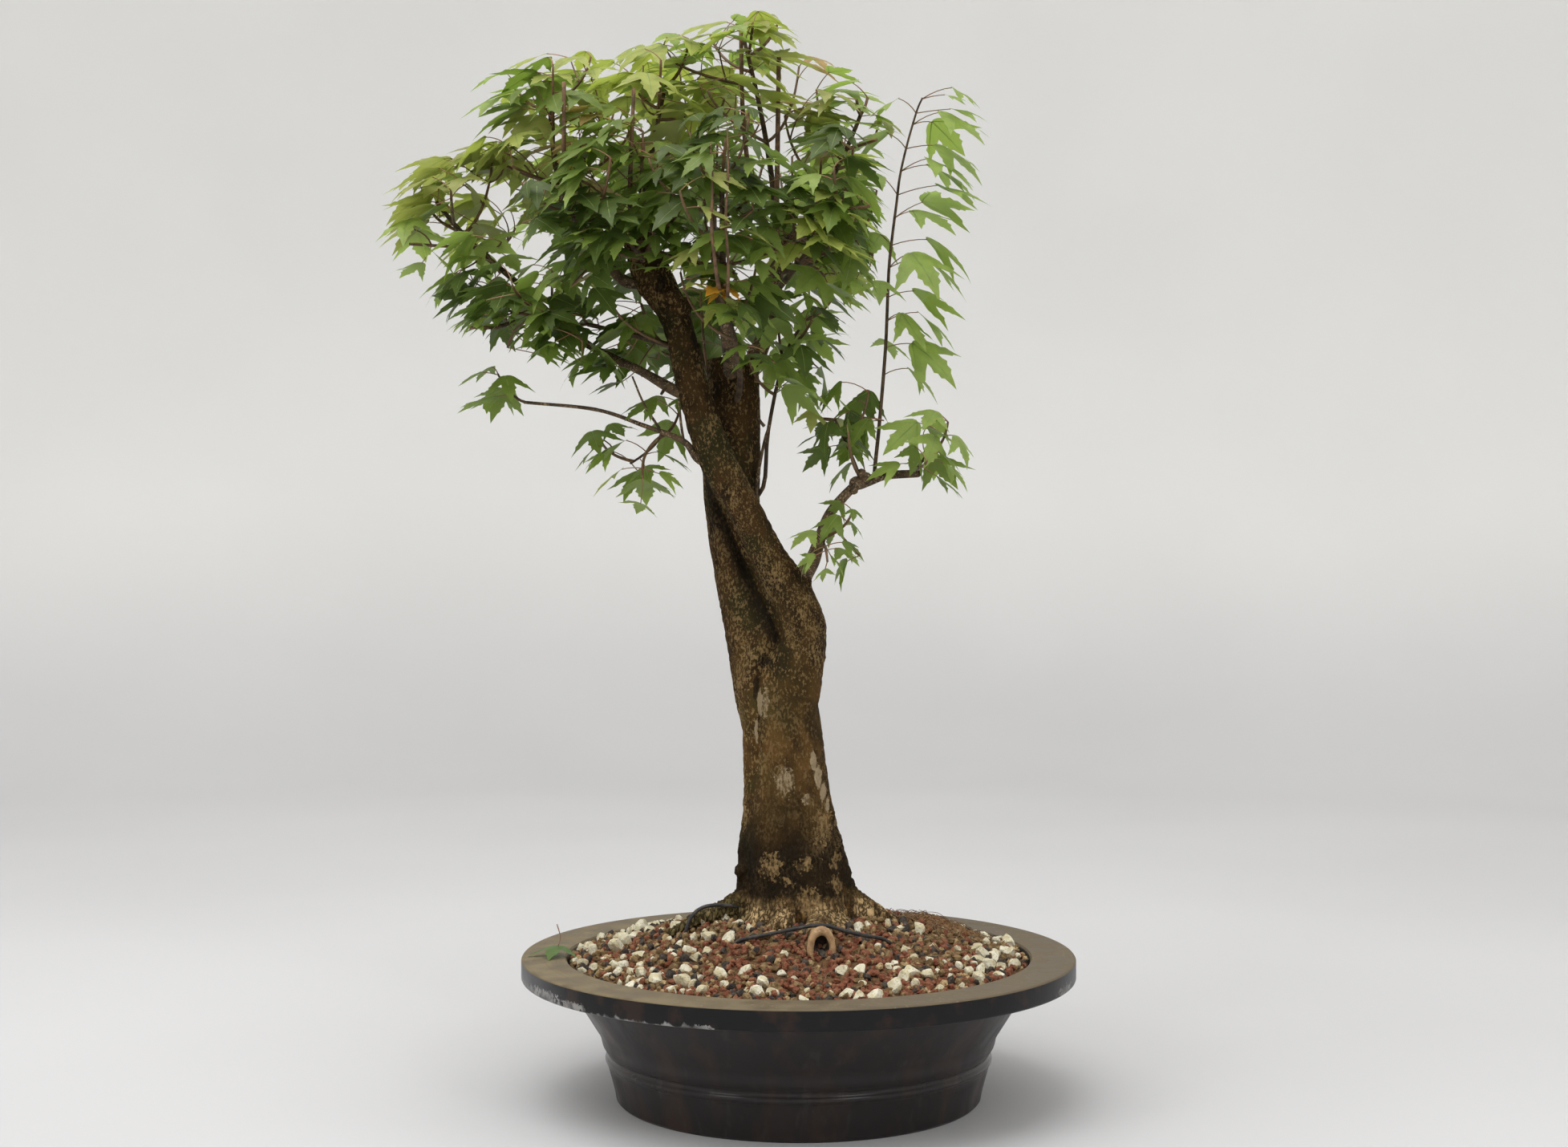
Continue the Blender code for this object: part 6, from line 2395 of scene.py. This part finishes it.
    def first_fit(self, mass: Mass, seat: Seat, dice: random.Random) -> bool:
        """Grows a leaf from the seat in the first lay that fits, the largest tried first, if any does.

        Args:
            mass: The mass.
            seat: The seat.
            dice: The mass's own random numbers.

        Returns:
            Whether a leaf was grown.
        """
        jitter = np.array([dice.gauss(0, 1) for _ in range(3)])
        shape = dice.choice(self.shapes)
        stalk = mass.stalk * dice.uniform(0.75, 1.3)
        heights, least, most = (np.array(column) for column in zip(*HANGING))
        least, most = np.interp(seat.place[2], heights, least), np.interp(seat.place[2], heights, most)
        hang = dice.uniform(least, most) + mass.hang
        spin = dice.uniform(-0.55, 0.55)
        for size in self.sizes:
            for droop in (hang, hang + 0.2, hang - 0.15):
                for swing in (spin, spin + 0.8, spin - 0.8):
                    if self.try_leaf(mass, seat, shape, stalk * size, size, droop, swing, jitter):
                        return True
        return False

    def try_leaf(
        self, mass: Mass, seat: Seat, shape: LeafShape, stalk: float, size: float, droop: float,
        swing: float, jitter: np.ndarray,
    ) -> bool:
        """Grows a leaf of this lay if it fits.

        Args:
            mass: The mass that the leaf belongs to.
            seat: Where it grows.
            shape: Its blade.
            stalk: Its stalk's length.
            size: Its share of the full blade.
            droop: How far it hangs below level, in radians.
            swing: Its turn about the upright axis, in radians.
            jitter: A random lean of its own.

        Returns:
            Whether it fitted and was grown.
        """
        outward = unit(seat.place - self.heart)
        out = seat.out + np.array(mass.lean) + (0, 0, 0.2)
        turned = np.array(Matrix.Rotation(swing, 3, "Z") @ Vector(out))
        heading = unit(turned) * 0.9 + outward * 0.22 + jitter * 0.14
        level = unit(heading * (1, 1, 0) + outward * (0.05, 0.05, 0))
        inward = level @ unit(outward * (1, 1, 0)) < self.least_outward
        if inward and mass.name not in OUTLYING and self.depth_in(mass, seat.place) > self.edge:
            return False
        ahead = level * math.cos(droop) - np.array((0, 0, math.sin(droop)))
        normal = np.array((0, 0, 1.0)) + outward * 0.25 + jitter[::-1] * 0.25
        across = np.cross(normal, ahead)
        if np.linalg.norm(across) < 0.2:
            across = np.cross((0, -0.4, 1.0), ahead)
        across = unit(across)
        top = np.cross(ahead, across)
        blade = self.blade * size * mass.leaf_size * seat.size
        knee = seat.place + unit(turned) * stalk * 0.55
        base = knee + unit(unit(turned) + ahead * 0.8) * stalk * 0.45
        axes = np.stack([ahead, across, top])
        tests = base + np.array(self.test_points) @ axes * blade
        if self.depth_in(mass, tests).max() > mass.room or not self.within_outline(mass, tests):
            return False
        if not self.clear_of_limbs(tests, self.limb_gap):
            return False
        coarse = base + np.array(self.coarse_points) @ axes * blade
        tree = BVHTree.FromPolygons([Vector(point) for point in coarse], self.coarse_faces)
        cell = tuple(int(part) for part in np.floor(coarse.mean(axis=0) / self.cell))
        for step in np.ndindex(3, 3, 3):
            near = tuple(here + move - 1 for here, move in zip(cell, step))
            if any(tree.overlap(other) for other in self.cells.get(near, ())):
                return False
        self.cells.setdefault(cell, []).append(tree)
        self.leaves[seat.tint].add(base + shape.points @ axes * blade, shape.faces)
        self.veins.add(base + shape.ribs @ axes * blade, shape.rib_faces)
        line = self.bowed(seat.place, knee, base + ahead * 0.001, self.petiole_radii, 4)
        self.petioles.add(*tube(line, self.petiole_corners))
        self.grown += 1
        return True

    def build(self) -> list[bpy.types.Object]:
        """Makes the pieces: twigs, stalks, veins, and a piece of leaves for each tint.

        Returns:
            The pieces.
        """
        wood = TwigFinish("twig_wood", (0.09, 0.055, 0.026), (0.036, 0.022, 0.011), (0.2, 0.14, 0.075), 0.8)
        shoots = TwigFinish("shoot_skin", (0.165, 0.085, 0.038), (0.1, 0.062, 0.024), (0.24, 0.18, 0.1))
        stalks = TwigFinish("stalk_skin", (0.34, 0.15, 0.085), (0.26, 0.2, 0.075), (0.36, 0.24, 0.14), 0.5)
        veins = LeafFinish("vein_skin", (0.235, 0.3, 0.105))
        nodes = tuple(mass.name for mass in MASSES)
        pieces = [
            hand_over(self.wood.make("stems_of_masses"), [wood.make(self.effects)], nodes),
            hand_over(self.green_wood.make("shoots"), [shoots.make(self.effects)]),
            hand_over(self.petioles.make("leaf_stalks"), [stalks.make(self.effects)]),
            hand_over(self.veins.make("leaf_veins"), [veins.make(self.effects)]),
        ]
        for tint, heap in self.leaves.items():
            if heap.count:
                finish = LeafFinish("leaf_" + tint.label, tint.colour).make(self.effects)
                made = heap.make("leaves_" + tint.label)
                pieces.append(hand_over(made, [finish]))
        return pieces


@dataclass
class FallenLeaf:
    """The green leaf that lies on the lip at the left, its stalk in the air."""

    effects: SharedEffects
    base: tuple = (-0.209, -0.006, 0.1305)
    blade: float = 0.035

    def build(self) -> list[bpy.types.Object]:
        """Makes the blade and its stalk.

        Returns:
            The two pieces.
        """
        shape = LeafShape(0.2, 0.3, 0.02, 0.12)
        turn = np.array(Matrix.Rotation(math.radians(262), 3, "Z"))
        heap = Heap()
        heap.add(shape.points * self.blade @ turn.T + self.base, shape.faces)
        leaf = heap.make("fallen_leaf")
        finish = LeafFinish("fallen_green", (0.13, 0.215, 0.06)).make(self.effects)
        x, y, z = self.base
        stops = (
            (x, y, z, 0.0005), (x + 0.002, y - 0.001, z + 0.008, 0.0005), (x - 0.001, y, z + 0.019, 0.0006),
        )
        heap = Heap()
        heap.add(*tube(smooth_line(stops, 5), 5))
        skin = TwigFinish("fallen_stalk_skin", (0.42, 0.26, 0.19), (0.3, 0.17, 0.11), (0.5, 0.36, 0.26), 0.5)
        stalk = heap.make("fallen_leaf_stalk")
        return [
            hand_over(leaf, [finish]),
            hand_over(stalk, [skin.make(self.effects)]),
        ]


@dataclass
class Studio:
    """The pale floor that sweeps up all round, the soft lights and the level camera."""

    effects: SharedEffects
    floor_colour: tuple = (0.64, 0.64, 0.65)
    wall_colour: tuple = (0.84, 0.84, 0.83)
    floor_radius: float = 2.6
    sweep_radius: float = 1.6
    wall_top: float = 4.2
    segments: int = 96
    camera_place: tuple = CAMERA_PLACE
    lens: float = 47.88
    sensor: float = 36.0

    def build(self) -> None:
        """Sets the studio up."""
        self.build_floor()
        self.build_lights()
        self.build_camera()

    def build_floor(self) -> None:
        """A round floor with its edge swept up into a wall."""
        section = [(0.0, 0.0), (0.8, 0.0), (self.floor_radius, 0.0)]
        for step in range(1, 17):
            angle = math.radians(90 * step / 16)
            section.append((
                self.floor_radius + self.sweep_radius * math.sin(angle),
                self.sweep_radius * (1 - math.cos(angle)),
            ))
        section.append((self.floor_radius + self.sweep_radius, self.wall_top))
        floor = spun("studio_floor", section, self.segments)
        if floor.data.polygons[0].normal.z < 0:
            floor.data.flip_normals()
        floor.data.shade_smooth()
        coat = Coat(self.effects, "studio_paper", 0.85)
        colour = coat.mix(coat.band(coat.height, 0.0, 0.7), self.floor_colour, self.wall_colour)
        soft = coat.band(coat.noise(coat.place, 1.2), 0.3, 0.7, 0.96, 1.0)
        coat.feed(coat.shader["Base Color"], coat.mix(1.0, colour, soft, "MULTIPLY"))
        floor.data.materials.append(coat.material)

    def build_lights(self) -> None:
        """A large soft light overhead, two small fills in front and an even surround."""
        world = bpy.data.worlds.new("studio_air")
        world.use_nodes = True
        world.node_tree.nodes["Background"].inputs["Color"].default_value = (1.0, 0.985, 0.96, 1)
        world.node_tree.nodes["Background"].inputs["Strength"].default_value = 0.95
        bpy.context.scene.world = world
        self.lamp("overhead", (-0.5, -0.6, 2.7), (0.0, 0.0, 0.5), 2.2, 42.0)
        self.lamp("right_fill", (1.35, -2.1, 1.7), (0.0, 0.0, 0.4), 0.6, 7.0)
        self.lamp("left_fill", (-1.8, -1.7, 1.7), (0.0, 0.0, 0.4), 0.6, 6.0)
        bpy.context.scene.view_settings.view_transform = "Standard"

    def lamp(self, name: str, place: tuple, goal: tuple, size: float, power: float) -> None:
        """A square area light at a place, turned to a goal.

        Args:
            name: Its name.
            place: Where it hangs.
            goal: What it is turned to.
            size: Its side.
            power: Its power in watts.
        """
        light = bpy.data.lights.new(name, "AREA")
        light.size = size
        light.energy = power
        lamp = linked(name, light)
        lamp.location = place
        lamp.rotation_euler = (Vector(goal) - Vector(place)).to_track_quat("-Z", "Y").to_euler()

    def build_camera(self) -> None:
        """The level camera at the photo's viewpoint."""
        lens = bpy.data.cameras.new("photo_view")
        lens.lens = self.lens
        lens.sensor_width = self.sensor
        camera = linked("photo_view", lens)
        camera.location = self.camera_place
        camera.rotation_euler = (math.radians(90), 0, 0)
        bpy.context.scene.camera = camera


def main() -> None:
    """Builds the pieces in order, then the studio."""
    logging.basicConfig(level=logging.INFO, format="%(name)s: %(message)s")
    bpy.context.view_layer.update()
    limbs = [
        frame["nodes"][name]
        for name in ("trunk", "front_stem", "rear_stem", "cut_root", *(bough.name for bough in BOUGHS))
    ]
    effects = SharedEffects()
    bark = BarkFinish().make(effects)
    crown = Crown(effects, limbs)
    crown.grow()
    crown.build()
    Pot(effects).build()
    Soil(effects).build()
    Trunk(effects, bark).build()
    Limbs(effects).build()
    CutRoot(effects, bark).build()
    TieWires(effects).build()
    FallenLeaf(effects).build()
    Studio(effects).build()


if __name__ == "__main__":
    main()
